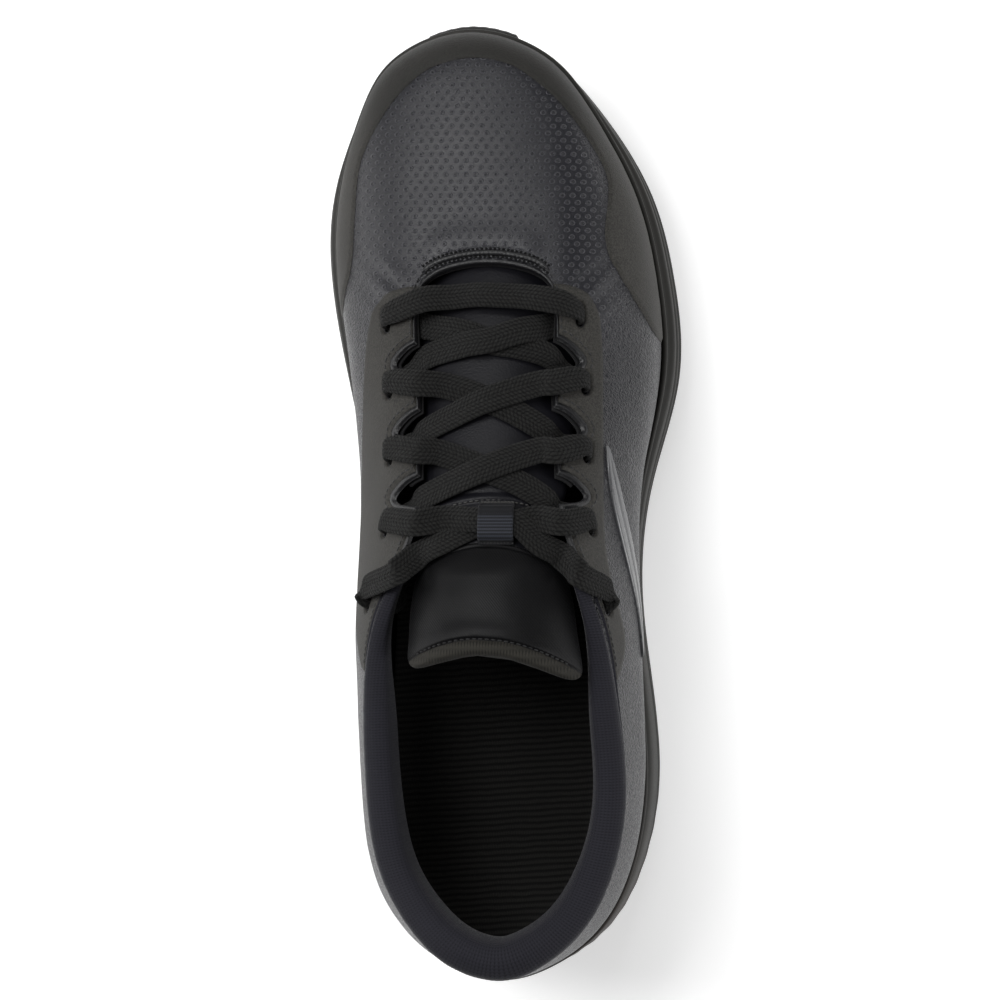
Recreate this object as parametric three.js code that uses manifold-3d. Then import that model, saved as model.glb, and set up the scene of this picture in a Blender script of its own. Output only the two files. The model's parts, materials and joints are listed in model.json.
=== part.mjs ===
// Spikeless golf shoe, right foot, men's US 9 (EU 42.5). Millimetres, +Z up, +Y to the toe, +X to the outer (lateral) side.
// The upper is one smooth reference surface P(t, s): t runs once round the foot (heel, outer side, toe, inner side), s runs from
// the feather edge (0) past the midsole's rim (1) to the topline and throat edge (5). Every layer of the upper is a patch of that
// surface between two offsets, so the layers nest without touching. The sole is a stack of closed outlines on the same t.
import * as THREE from "three";
import { mergeVertices } from "three/addons/utils/BufferGeometryUtils.js";
import Module from "manifold-3d";

// ---- driving dimensions -------------------------------------------------------------------------
const SHIFT = [1.231, -0.35, 0]; // moves the origin to the middle of the whole shoe's footprint, on the ground
const HALF = 13; // ribs from the heel's middle to the toe's middle
const RIBS = 2 * HALF;
const GAP = 0.3; // air between neighbouring layers
const SHELL = 1.4; // synthetic leather shell
const FILM = 0.9; // fused overlays
const STIFF = 0.9; // heel counter and toe puff
const LINING = 0.8;
const PLATE = 2.6; // outsole plate
const LUG = 3.0; // traction lug height
const LACE_W = 7.0;
const LACE_T = 1.3;
const EYELET_L = 8.2; // slot along the throat edge
const EYELET_W = 3.6;

// ---- profile of the bottom unit along the foot --------------------------------------------------
const table = (rows) => (y) => {
  if (y <= rows[0][0]) return rows[0][1];
  for (let i = 1; i < rows.length; i++)
    if (y <= rows[i][0]) {
      const [y0, v0] = rows[i - 1],
        [y1, v1] = rows[i],
        m0 = i > 1 ? (v1 - rows[i - 2][1]) / (y1 - rows[i - 2][0]) : (v1 - v0) / (y1 - y0),
        m1 = i < rows.length - 1 ? (rows[i + 1][1] - v0) / (rows[i + 1][0] - y0) : (v1 - v0) / (y1 - y0),
        h = y1 - y0,
        u = (y - y0) / h;
      return (
        v0 * (1 + 2 * u) * (1 - u) ** 2 + v1 * u * u * (3 - 2 * u) + h * m0 * u * (1 - u) ** 2 + h * m1 * u * u * (u - 1)
      );
    }
  return rows[rows.length - 1][1];
};
const groundLine = table([[-150, 8.5], [-141, 4], [-128, 0.9], [-114, 0], [-60, 0], [0, 0], [62, 0], [84, 1.4], [106, 5], [126, 11], [142, 18.5], [150, 23]]),
  groundZ = (y) => Math.max(0, groundLine(y));
const rimZ = table([[-150, 46], [-130, 44], [-100, 40.5], [-60, 36.5], [-20, 33], [20, 30], [55, 28], [85, 28.5], [110, 31.5], [130, 36], [147, 41]]);
const floorZ = table([[-150, 31.5], [-120, 30.5], [-90, 30], [-50, 27.5], [0, 23.5], [50, 19.6], [80, 20], [105, 22.5], [125, 26.5], [145, 31]]);

// ---- ribs: [rim x, rim y, topline x, y, z], outer side then inner side, heel to toe -----------------
const HEEL = [1, -146.3, 2.7, -141.5, 98];
const TOE = [-9.5, 145.6, -2, 75, 69.5];
const OUTER = [
  [16.5, -141.5, 14.6, -138.6, 97], [30.5, -130.5, 26.8, -129, 92.5], [39.6, -112, 35.6, -113, 85.5], [43.4, -86, 40, -89, 80.5],
  [41.2, -56, 37.9, -61, 81.5], [39.2, -25, 33.4, -34.5, 90], [42.2, 8, 24, -9.5, 94.6], [48.6, 40, 20.8, 11, 88.3],
  [47, 70, 19.4, 32, 80.8], [39.8, 98, 18, 54, 74.2], [25.8, 123.5, 13.4, 68.2, 70.8], [12.5, 138.5, 5.8, 73.6, 69.7],
];
const INNER = [
  [-14.5, -141.5, -10.2, -137.6, 97], [-28.7, -130.5, -21.4, -128, 92.5], [-37.8, -112, -31.8, -111, 85], [-40.8, -86, -36.6, -87, 79.5],
  [-39.6, -56, -37.4, -60, 80.5], [-38.6, -25, -33.2, -34, 89.5], [-41.4, 8, -22.4, -9.5, 94.6], [-46.6, 40, -20.8, 11, 88.3],
  [-51.4, 70, -21.6, 32, 80.8], [-50.6, 98, -22.4, 54, 74.2], [-42.6, 123.5, -17.6, 68.2, 70.8], [-31.5, 138.5, -9.8, 73.6, 69.7],
];
const RIB = [HEEL, ...OUTER, TOE, ...INNER.slice().reverse()];
// Handles of each rib's profile, by its place from heel (0) to toe (13): outward and up at the rim, outward and down at the top.
const AT_RIM = [[4.5, 22], [4.5, 22], [4, 20], [3.6, 17], [4.5, 15], [7.5, 17], [9, 20], [8, 22], [5.5, 21], [4.5, 20], [4.5, 20], [4.5, 20], [4.5, 20], [4.5, 21]];
const AT_TOP = [[4.5, 20], [4, 19], [3.4, 17], [3, 13], [3, 12], [4.5, 14], [9, 15], [15, 13], [17, 10.5], [18, 9.5], [22, 9], [33, 9], [43, 9.4], [47, 9.6]];

const sideOf = (i) => Math.min(i, RIBS - i);
const ribPlan = RIB.map((r) => [r[0], r[1]]);
function outwardAt(i) {
  const a = ribPlan[(i + RIBS - 1) % RIBS],
    b = ribPlan[(i + 1) % RIBS],
    d = [b[0] - a[0], b[1] - a[1]],
    l = Math.hypot(...d);
  return [d[1] / l, -d[0] / l];
}
function ribLevels(i) {
  const [jx, jy, tx, ty, tz] = RIB[i],
    k = sideOf(i),
    o = outwardAt(i),
    jz = rimZ(jy);
  const toJ = [jx - tx, jy - ty],
    l = Math.hypot(...toJ);
  const g = k > 6 ? [toJ[0] / l, toJ[1] / l] : o; // over the instep and toe the top handle points at the rim
  const a = [jx, jy, jz],
    b = [jx + o[0] * AT_RIM[k][0], jy + o[1] * AT_RIM[k][0], jz + AT_RIM[k][1]],
    c = [tx + g[0] * AT_TOP[k][0], ty + g[1] * AT_TOP[k][0], tz - AT_TOP[k][1]],
    d = [tx, ty, tz];
  const bez = (u) => a.map((_, q) => a[q] * (1 - u) ** 3 + 3 * b[q] * u * (1 - u) ** 2 + 3 * c[q] * u * u * (1 - u) + d[q] * u ** 3);
  return [[jx - o[0] * 2.6, jy - o[1] * 2.6, floorZ(jy)], bez(0), bez(0.28), bez(0.54), bez(0.78), bez(1)];
}

// ---- splines ------------------------------------------------------------------------------------
// Control points of the uniform cubic B-spline that passes through the given points.
function control(points, closed) {
  const n = points.length;
  let c = points.map((p) => p.slice());
  for (let k = 0; k < 90; k++) {
    c = c.map((p, i) => {
      const a = closed ? c[(i + n - 1) % n] : i ? c[i - 1] : c[0].map((v, q) => 2 * v - c[1][q]),
        b = closed ? c[(i + 1) % n] : i < n - 1 ? c[i + 1] : c[n - 1].map((v, q) => 2 * v - c[n - 2][q]);
      return p.map((v, q) => v + points[i][q] - (a[q] + 4 * v + b[q]) / 6);
    });
  }
  return c;
}
const basis = (u) => [(1 - u) ** 3 / 6, (3 * u ** 3 - 6 * u * u + 4) / 6, (-3 * u ** 3 + 3 * u * u + 3 * u + 1) / 6, u ** 3 / 6];
const slope = (u) => [-((1 - u) ** 2) / 2, (9 * u * u - 12 * u) / 6, (-9 * u * u + 6 * u + 3) / 6, (u * u) / 2];
const LEVELS = 6;
const byRib = RIB.map((_, i) => ribLevels(i)); // [rib][level]
const alongT = Array.from({ length: LEVELS }, (_, l) => control(byRib.map((r) => r[l]), true)); // [level][rib]
const NET = Array.from({ length: RIBS }, (_, i) => {
  const c = control(alongT.map((lv) => lv[i]), false);
  return [c[0].map((v, q) => 2 * v - c[1][q]), ...c, c[LEVELS - 1].map((v, q) => 2 * v - c[LEVELS - 2][q])];
});
function surface(t, s) {
  t = ((t % RIBS) + RIBS) % RIBS;
  const i = Math.floor(t),
    j = Math.min(Math.floor(Math.max(s, 0)), LEVELS - 2),
    bt = basis(t - i),
    dt = slope(t - i),
    bs = basis(s - j),
    ds = slope(s - j);
  const p = new THREE.Vector3(),
    pt = new THREE.Vector3(),
    ps = new THREE.Vector3();
  for (let a = 0; a < 4; a++)
    for (let b = 0; b < 4; b++) {
      const v = new THREE.Vector3(...NET[(i + a - 1 + RIBS) % RIBS][j + b]);
      p.addScaledVector(v, bt[a] * bs[b]);
      pt.addScaledVector(v, dt[a] * bs[b]);
      ps.addScaledVector(v, bt[a] * ds[b]);
    }
  return { p, n: pt.cross(ps).normalize() };
}
const offset = (t, s, d) => {
  const { p, n } = surface(t, s);
  return p.addScaledVector(n, d);
};

// ---- closed solids from grids --------------------------------------------------------------------
function geometry(points, faces) {
  const g = new THREE.BufferGeometry().setFromPoints(points);
  g.setIndex(faces.flat());
  return g;
}
// A closed solid between two grids of the same shape, front[row][column] facing out and back[row][column] facing in.
function slab(front, back, around = false) {
  const R = front.length,
    C = front[0].length,
    points = [...front.flat(), ...back.flat()],
    f = (r, c) => r * C + (c % C),
    b = (r, c) => R * C + r * C + (c % C),
    faces = [],
    quad = (a, b2, c, d) => faces.push([a, b2, c], [a, c, d]);
  const last = around ? C : C - 1;
  for (let r = 0; r < R - 1; r++)
    for (let c = 0; c < last; c++) {
      quad(f(r, c), f(r, c + 1), f(r + 1, c + 1), f(r + 1, c));
      quad(b(r, c), b(r + 1, c), b(r + 1, c + 1), b(r, c + 1));
    }
  for (let c = 0; c < last; c++) {
    quad(f(0, c), b(0, c), b(0, c + 1), f(0, c + 1));
    quad(f(R - 1, c), f(R - 1, c + 1), b(R - 1, c + 1), b(R - 1, c));
  }
  if (!around)
    for (let r = 0; r < R - 1; r++) {
      quad(f(r, 0), f(r + 1, 0), b(r + 1, 0), b(r, 0));
      quad(f(r, C - 1), b(r, C - 1), b(r + 1, C - 1), f(r + 1, C - 1));
    }
  return geometry(points, faces);
}
const patch = (ts, ss, outer, inner, around = false) =>
  slab(
    ss.map((s) => ts.map((t) => offset(t, s, outer))),
    ss.map((s) => ts.map((t) => offset(t, s, inner))),
    around,
  );
// A closed solid from rings stacked upwards, each starting at the heel; its ends are closed across from side to side.
function stack(rings) {
  const N = rings[0].length,
    points = rings.flat(),
    faces = [],
    at = (r, c) => r * N + ((c + N) % N);
  for (let r = 0; r < rings.length - 1; r++)
    for (let c = 0; c < N; c++)
      faces.push([at(r, c), at(r, c + 1), at(r + 1, c + 1)], [at(r, c), at(r + 1, c + 1), at(r + 1, c)]);
  const H = N / 2,
    cap = (r, up) => {
      const add = (a, b, c) => faces.push(up ? [a, b, c] : [a, c, b]);
      add(at(r, 0), at(r, 1), at(r, N - 1));
      for (let c = 1; c < H - 1; c++) {
        add(at(r, c), at(r, c + 1), at(r, N - c - 1));
        add(at(r, c), at(r, N - c - 1), at(r, N - c));
      }
      add(at(r, H - 1), at(r, H), at(r, H + 1));
    };
  cap(0, false);
  cap(rings.length - 1, true);
  return geometry(points, faces);
}

// ---- booleans -------------------------------------------------------------------------------------
const wasm = await Module();
wasm.setup();
function solid(g) {
  const bare = new THREE.BufferGeometry().setAttribute("position", (g.index ? g.toNonIndexed() : g).getAttribute("position"));
  const m = mergeVertices(bare, 1e-4);
  return new wasm.Manifold(new wasm.Mesh({ numProp: 3, vertProperties: m.attributes.position.array, triVerts: new Uint32Array(m.index.array) }));
}
function toGeometry(manifold) {
  const m = manifold.getMesh(),
    n = m.numProp,
    v = new Float32Array(m.numVert * 3);
  for (let i = 0; i < m.numVert; i++) v.set(m.vertProperties.subarray(i * n, i * n + 3), i * 3);
  return new THREE.BufferGeometry().setAttribute("position", new THREE.BufferAttribute(v, 3)).setIndex(new THREE.BufferAttribute(m.triVerts, 1));
}
// The largest single body of a solid, which drops the crumbs a cut can leave.
const biggest = (m) => m.decompose().sort((a, b) => b.volume() - a.volume())[0];
// A vertical prism over a plan outline.
function prism(outline, z0 = -20, z1 = 160) {
  const shape = new THREE.Shape(outline.map(([x, y]) => new THREE.Vector2(x, y)));
  return new THREE.ExtrudeGeometry(shape, { depth: z1 - z0, bevelEnabled: false, curveSegments: 1 }).translate(0, 0, z0);
}

// ---- sampling ---------------------------------------------------------------------------------------
const STEP = 0.5;
const range = (a, b, step = STEP) => Array.from({ length: Math.round((b - a) / step) + 1 }, (_, i) => a + i * step);
const ALL_T = range(0, RIBS - STEP);
const ROWS = [0, 0.5, 1, 1.6, 2.2, 2.8, 3.4, 4, 4.5, 5];
const rowsTo = (top) => [...ROWS.filter((s) => s < top - 1e-6), top];

// ---- materials --------------------------------------------------------------------------------------
const mat = (color, roughness, metalness = 0) => new THREE.MeshStandardMaterial({ color, roughness, metalness });
const M = {
  leather: mat(0x1b1b1f, 0.48),
  film: mat(0x2a2a28, 0.62),
  knit: mat(0x131319, 0.95),
  foam: mat(0x303030, 0.95),
  eva: mat(0x1d1d1c, 0.7),
  tpu: mat(0x161616, 0.5),
  board: mat(0x6a665c, 0.95),
  webbing: mat(0x1a1b22, 0.8),
  lace: mat(0x161614, 0.95),
  gloss: mat(0x4c4d50, 0.3),
  plastic: mat(0x101010, 0.35),
  lining: mat(0x101013, 0.95),
  stiff: mat(0x8a8678, 0.8),
};
const shoe = new THREE.Group();
const add = (name, g, material) => {
  const mesh = new THREE.Mesh(g, material);
  mesh.name = name;
  shoe.add(mesh);
  return mesh;
};

// ---- bottom unit --------------------------------------------------------------------------------------
// Widest line of the sole, at each rib, measured out from the rim line: [outer side, inner side] heel to toe.
const FLARE = [[2.4, 2.4], [3, 2.4], [3.4, 2.6], [4, 3], [4.8, 3], [4.6, 2.6], [3.4, 2.6], [4, 3.2], [5.6, 4.6], [5.6, 5], [5, 4.6], [3, 2.4], [1.2, 0.8], [1.4, 1.4]];
const flareC = control(RIB.map((_, i) => [FLARE[sideOf(i)][i <= HALF ? 0 : 1]]), true);
const flare = (t) => {
  t = ((t % RIBS) + RIBS) % RIBS;
  const i = Math.floor(t),
    b = basis(t - i);
  return b.reduce((sum, w, a) => sum + w * flareC[(i + a - 1 + RIBS) % RIBS][0], 0);
};
const planC = control(ribPlan, true);
function plan(t, out = 0) {
  t = ((t % RIBS) + RIBS) % RIBS;
  const i = Math.floor(t),
    b = basis(t - i),
    d = slope(t - i),
    p = [0, 0],
    q = [0, 0];
  for (let a = 0; a < 4; a++)
    for (let k = 0; k < 2; k++) {
      p[k] += b[a] * planC[(i + a - 1 + RIBS) % RIBS][k];
      q[k] += d[a] * planC[(i + a - 1 + RIBS) % RIBS][k];
    }
  const l = Math.hypot(...q);
  return [p[0] + (q[1] / l) * out, p[1] - (q[0] / l) * out];
}
const ring = (out, z) => ALL_T.map((t) => {
  const [x, y] = plan(t, typeof out === "function" ? out(t) : out);
  return new THREE.Vector3(x, y, typeof z === "function" ? z(y, t) : z);
});
const under = (y) => groundZ(y) + LUG + PLATE + GAP; // the midsole's underside
add(
  "midsole",
  stack([
    ring((t) => flare(t) - 4.2, (y) => under(y)),
    ring((t) => flare(t) - 1.6, (y) => under(y) + 3),
    ring((t) => flare(t), (y) => under(y) + 0.42 * (rimZ(y) - under(y))),
    ring((t) => flare(t) * 0.55 + 0.6, (y) => under(y) + 0.82 * (rimZ(y) - under(y))),
    ring((t) => 1.9, (y) => rimZ(y) - 0.6),
    ALL_T.map((t) => { const p = offset(t, 1, 0.35); return new THREE.Vector3(p.x, p.y, Math.min(p.z, rimZ(p.y))); }),
    ALL_T.map((t) => offset(t, 0.5, 0.35)),
    ALL_T.map((t) => { const p = offset(t, 0, 0.35); p.z = floorZ(p.y) - 0.35; return p; }),
  ]),
  M.eva,
);

// Outsole: plate, lugs and the bumper that wraps up the toe, all one moulding.
const plateLow = (y) => groundZ(y) + LUG,
  plateHigh = (y) => groundZ(y) + LUG + PLATE;
let outsole = solid(
  stack([
    ring((t) => flare(t) - 5.4, plateLow),
    ring((t) => flare(t) - 3.2, (y) => plateLow(y) + 1.1),
    ring((t) => flare(t) - 3, plateHigh),
  ]),
);
const BUMPER_T = range(HALF - 0.75, HALF + 0.75, 0.25);
const bumperRow = (out, z) => BUMPER_T.map((t) => { const [x, y] = plan(t, out(t)); return new THREE.Vector3(x, y, z(y)); });
outsole = outsole.add(
  solid(
    slab(
      [bumperRow((t) => flare(t) + 0.2, (y) => groundZ(y) + LUG + 0.6), bumperRow((t) => flare(t) + 1.6, (y) => under(y) + 5), bumperRow((t) => flare(t) + 2.4, (y) => under(y) + 9), bumperRow((t) => flare(t) + 2.0, (y) => rimZ(y) - 3.2)],
      [bumperRow((t) => flare(t) - 4.2, (y) => groundZ(y) + LUG + 1.6), bumperRow((t) => flare(t) - 0.6, (y) => under(y) + 2.4), bumperRow((t) => flare(t) + 0.55, (y) => under(y) + 8), bumperRow((t) => flare(t) + 0.5, (y) => rimZ(y) - 3.8)],
    ),
  ),
);
// Lugs: rows across the tread, each a six-sided frustum with a flat foot. [y, x from, x to, how many]
const LUG_ROWS = [
  [-132, -14, 16, 3], [-116, -27, 29, 4], [-99, -30, 33, 4], [-82, -30, 34, 4], [-65, -28, 32, 4],
  [22, -30, 34, 4], [39, -36, 38, 5], [56, -39, 38, 5], [73, -41, 34, 5], [90, -41, 28, 5], [107, -36, 19, 4], [122, -27, 7, 3],
];
const LUGS = LUG_ROWS.flatMap(([y, a, b, n]) => Array.from({ length: n }, (_, i) => [a + ((b - a) * i) / (n - 1), y + (i % 2 ? 1.5 : -1.5)]));
for (const [x, y] of LUGS) {
  const z = groundZ(y);
  outsole = outsole.add(solid(new THREE.CylinderGeometry(5.6, 4.4, LUG + 1, 6).rotateX(Math.PI / 2).translate(x, y, z + (LUG + 1) / 2)));
}
add("outsole", toGeometry(biggest(outsole)), M.tpu);

// Strobel board: closes the upper's bottom inside the layers' lower edges.
const blunt = (t) => 1.6 * Math.min(1, Math.max(0, (Math.min(t, RIBS - t) - 10) / 2)); // shorter at the toe than the last
const inside = (d) => (s) => ALL_T.map((t) => offset(t, s, -d - blunt(t)));
const flatRing = (d, z) => inside(d)(0.25).map((p) => new THREE.Vector3(p.x, p.y, z(p.y)));
add("strobel_board", stack([flatRing(4.6, (y) => floorZ(y) - 0.2), flatRing(4.6, (y) => floorZ(y) + 1)]), M.board);

// Insole: contoured foam under a fabric cover, dished at the heel. It bends at INSOLE_FOLD when its heel is peeled up.
const INSOLE_FOLD = 22;
const insoleZ = (y) => floorZ(y) + 1.3;
const thick = table([[-150, 6.2], [-100, 5.6], [-40, 5.8], [20, 4.4], [80, 3.8], [145, 3.4]]);
const cup = table([[-150, 5], [-110, 4.6], [-60, 4.4], [-20, 3.6], [20, 1.6], [60, 0.6], [145, 0.4]]);
const insoleRing = (d, s, z) => inside(d)(s).map((p) => new THREE.Vector3(p.x, p.y, z(p.y)));
const base = solid(
  stack([
    insoleRing(6, 0.45, insoleZ),
    insoleRing(5.3, 0.6, (y) => insoleZ(y) + 1.5),
    insoleRing(5.2, 0.8, (y) => insoleZ(y) + thick(y) + cup(y)),
    insoleRing(9.5, 0.8, (y) => insoleZ(y) + thick(y) + cup(y) * 0.35),
    insoleRing(16, 0.8, (y) => insoleZ(y) + thick(y)),
  ]),
);
const cover = solid(
  stack([
    insoleRing(16, 0.8, (y) => insoleZ(y) + thick(y) + 0.32),
    insoleRing(9.5, 0.8, (y) => insoleZ(y) + thick(y) + cup(y) * 0.35 + 0.35),
    insoleRing(5.3, 0.8, (y) => insoleZ(y) + thick(y) + cup(y) + 0.35),
    insoleRing(5.3, 0.8, (y) => insoleZ(y) + thick(y) + cup(y) + 1.1),
    insoleRing(9.7, 0.8, (y) => insoleZ(y) + thick(y) + cup(y) * 0.35 + 1.15),
    insoleRing(16.2, 0.8, (y) => insoleZ(y) + thick(y) + 1.12),
  ]),
);
const slice = (y0, y1) => solid(new THREE.BoxGeometry(200, y1 - y0, 200).translate(0, (y0 + y1) / 2, 40));
add("insole_foam_front", toGeometry(biggest(base.intersect(slice(INSOLE_FOLD + 0.3, 300)))), M.foam);
add("insole_foam_heel", toGeometry(biggest(base.intersect(slice(-300, INSOLE_FOLD - 0.3)))), M.foam);
add("insole_cover_front", toGeometry(biggest(cover.intersect(slice(INSOLE_FOLD + 0.3, 300)))), M.knit);
add("insole_cover_heel", toGeometry(biggest(cover.intersect(slice(-300, INSOLE_FOLD - 0.3)))), M.knit);


// ---- upper: shell, stiffeners, linings, fused films ------------------------------------------------
// Depth of the lining below the reference surface: deep over the stiffeners, shallow at the throat.
const slip = (a, b, x) => { const u = Math.min(1, Math.max(0, (x - a) / (b - a))); return u * u * (3 - 2 * u); };
const wrapped = (t) => { const u = ((t % RIBS) + RIBS) % RIBS; return Math.min(u, RIBS - u); };
const stiffened = (t) => Math.max(1 - slip(4.05, 5.5, wrapped(t)), slip(9.4, 10.45, wrapped(t)));
const depth = (t, s) => SHELL + GAP + (STIFF + GAP) * stiffened(t) * (1 - slip(3.1, 4, s));
const offsetBy = (t, s, d) => offset(t, s, typeof d === "function" ? d(t, s) : d);
const layer = (ts, ss, outer, inner, around = false) =>
  slab(
    ss.map((s) => ts.map((t) => offsetBy(t, s, outer))),
    ss.map((s) => ts.map((t) => offsetBy(t, s, inner))),
    around,
  );
// Finds the place on the reference surface above a plan point, on the given side.
function locate(x, y, outer = x > 0, from = 2.2) {
  let best = [0, 0], far = 1e9;
  const t0 = outer ? 0 : HALF, look = (t, s) => { const { p } = surface(t, s), d = (p.x - x) ** 2 + (p.y - y) ** 2; if (d < far) { far = d; best = [t, s]; } };
  for (let t = t0; t <= t0 + HALF; t += 0.2) for (let s = from; s <= 5; s += 0.1) look(t, s);
  for (let k = 0, h = 0.1; k < 12; k++, h /= 2) { const [bt, bs] = best; for (const dt of [-h, 0, h]) for (const ds of [-h, 0, h]) look(bt + dt, Math.min(5, Math.max(from, bs + ds))); }
  return best;
}

// Eyelets, [x, y] on the outer side and on the inner side, from the toe back.
const EYELETS = [[26.2, 57], [28.2, 36.4], [29.2, 15.6], [30.4, -6], [35.2, -30]].map(([x, y]) => [x, y, true])
  .concat([[-33, 55.6], [-31.8, 35.4], [-30.8, 15], [-31, -6.6], [-36.2, -29.4]].map(([x, y]) => [x, y, false]));
const holes = EYELETS.map(([x, y, outer]) => {
  const [t, s] = locate(x, y, outer),
    { p, n } = surface(t, s),
    along = offset(t + 0.05, s, 0).sub(offset(t - 0.05, s, 0)).normalize(),
    across = new THREE.Vector3().crossVectors(n, along).normalize();
  return { p, n, along, across, t, s, outer };
});
function slot({ p, n, along, across }, deepIn = 14, out = 6) {
  const L = EYELET_L / 2, W = EYELET_W / 2, k = 0.9;
  const shape = new THREE.Shape([[-L, -W + k], [-L + k, -W], [L - k, -W], [L, -W + k], [L, W - k], [L - k, W], [-L + k, W], [-L, W - k]].map(([a, b]) => new THREE.Vector2(a, b)));
  const g = new THREE.ExtrudeGeometry(shape, { depth: deepIn + out, bevelEnabled: false });
  const side = new THREE.Vector3().crossVectors(n, along).normalize();
  g.applyMatrix4(new THREE.Matrix4().makeBasis(along, side, n));
  g.translate(p.x - n.x * deepIn, p.y - n.y * deepIn, p.z - n.z * deepIn);
  return solid(g);
}
const slots = holes.map((h, i) => (i % 5 === 4 ? slot(h, 10, 6) : slot(h, 6, 6)));
// Scallops of the throat edge between the eyelet rows: plan outlines, outer side then inner side.
const NOTCHES = [
  [[12, 50.5], [21, 49.6], [27.2, 43.2], [26.4, 41.2], [21.4, 40.6], [12, 40]],
  [[12, 29.4], [22, 28.6], [28, 22.4], [27.2, 20.4], [22.2, 19.8], [12, 19.4]],
  [[12, 9.4], [23, 8.6], [29.2, 2.4], [28.4, 0.4], [24, -0.2], [12, -0.6]],
  [[-14, 49.6], [-24, 48.4], [-30, 42.6], [-29.2, 40.4], [-24.2, 39.8], [-14, 39.4]],
  [[-14, 29], [-22.6, 27.8], [-28.8, 21.8], [-28, 19.6], [-23, 19], [-14, 18.6]],
  [[-14, 9], [-22.4, 7.8], [-28.8, 1.8], [-28, -0.4], [-23.4, -1], [-14, -1.4]],
];
const scallops = NOTCHES.map((o) => solid(prism(o, 60, 130)));
const cutAll = (m, cutters) => cutters.reduce((a, c) => a.subtract(c), m);

add("upper_shell", toGeometry(biggest(cutAll(solid(patch(ALL_T, ROWS, 0, -SHELL, true)), [...slots, ...scallops]))), M.leather);
add("heel_counter", layer(range(-4, 4), rowsTo(3.1), -SHELL - GAP, -SHELL - GAP - STIFF), M.stiff);
add("toe_puff", layer(range(HALF - 2.5, HALF + 2.5), [0.5, 1, 1.6, 2.2, 2.8], -SHELL - GAP, -SHELL - GAP - STIFF), M.stiff);
add("quarter_lining", layer([-7.47, ...range(-7, 7), 7.47], rowsTo(3.36), (t, s) => -depth(t, s) , (t, s) => -depth(t, s) - LINING), M.lining);
add("vamp_lining", toGeometry(biggest(cutAll(solid(layer(range(7.5, RIBS - 7.5), ROWS, (t, s) => -depth(t, s), (t, s) => -depth(t, s) - LINING)), [...slots, ...scallops]))), M.lining);

// Matte film round the toe and along both sides of the forefoot, above the window of bare vamp.
const WINDOW = [
  [-54, 40], [-49.2, 60.1], [-47.5, 66.3], [-45.2, 73.3], [-44.5, 88.2], [-43.7, 103.1], [-40.5, 111.2], [-32.8, 123.7], [-22.9, 133.2], [-13.1, 136.5], [-4.1, 137],
  [4.9, 134.6], [12.3, 129.4], [19.7, 122.7], [27.1, 112.9], [32.3, 103.9], [34.2, 98.1], [33.8, 90.3], [33.0, 82.9], [34.1, 75.6], [38.9, 67.4], [43.9, 58.8], [50, 48], [60, 40],
];
add(
  "toe_rand",
  toGeometry(biggest(solid(layer(range(7.5, RIBS - 7.5), [1.1, 1.6, 2.2, 2.8, 3.4, 4], GAP + FILM, GAP)).subtract(solid(prism([...WINDOW, [60, -60], [-60, -60]]))))),
  M.film,
);
// Matte films round the eyelets.
const STAY_OUTER = [[15, 66.4], [24.6, 66.3], [30.6, 61.8], [33, 52.7], [33.8, 19], [34.3, -10], [37, -25], [40.4, -38], [40, -46], [37.2, -55], [0, -55], [0, 60]];
const STAY_INNER = [[-19, 66], [-31, 65.4], [-37.4, 60], [-39.9, 51.8], [-41.4, 30], [-41.8, 0], [-42, -20], [-42.4, -40], [-38, -53], [0, -55], [0, 60]];
const stay = (ts, outline) => toGeometry(biggest(cutAll(solid(layer(ts, [2.8, 3.4, 4, 4.5, 5], GAP + FILM, GAP)).intersect(solid(prism(outline))), [...slots, ...scallops])));
add("eyestay_outer", stay(range(4.5, 11.5), STAY_OUTER), M.film);
add("eyestay_inner", stay(range(RIBS - 11.5, RIBS - 4.5), STAY_INNER), M.film);
// Folded and stitched edge of the vamp at the throat.
add("throat_edge", layer(range(11.62, RIBS - 11.62, (RIBS - 23.24) / 8), [4.84, 4.92, 5], GAP + 0.8, GAP), M.leather);
// Plain slanted blade on the outer quarter.
{
  const n = 12, rows = [-1, -0.33, 0.33, 1],
    at = (u, w, d) => offset(5.35 + 2.35 * u, 2.45 + 1.05 * u + w * (0.03 + 0.2 * Math.sin(Math.PI * u ** 0.8)), d),
    grid = (d) => rows.map((w) => Array.from({ length: n + 1 }, (_, i) => at(i / n, w, d)));
  add("side_emblem", slab(grid(GAP + 1), grid(GAP)), M.gloss);
}

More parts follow.
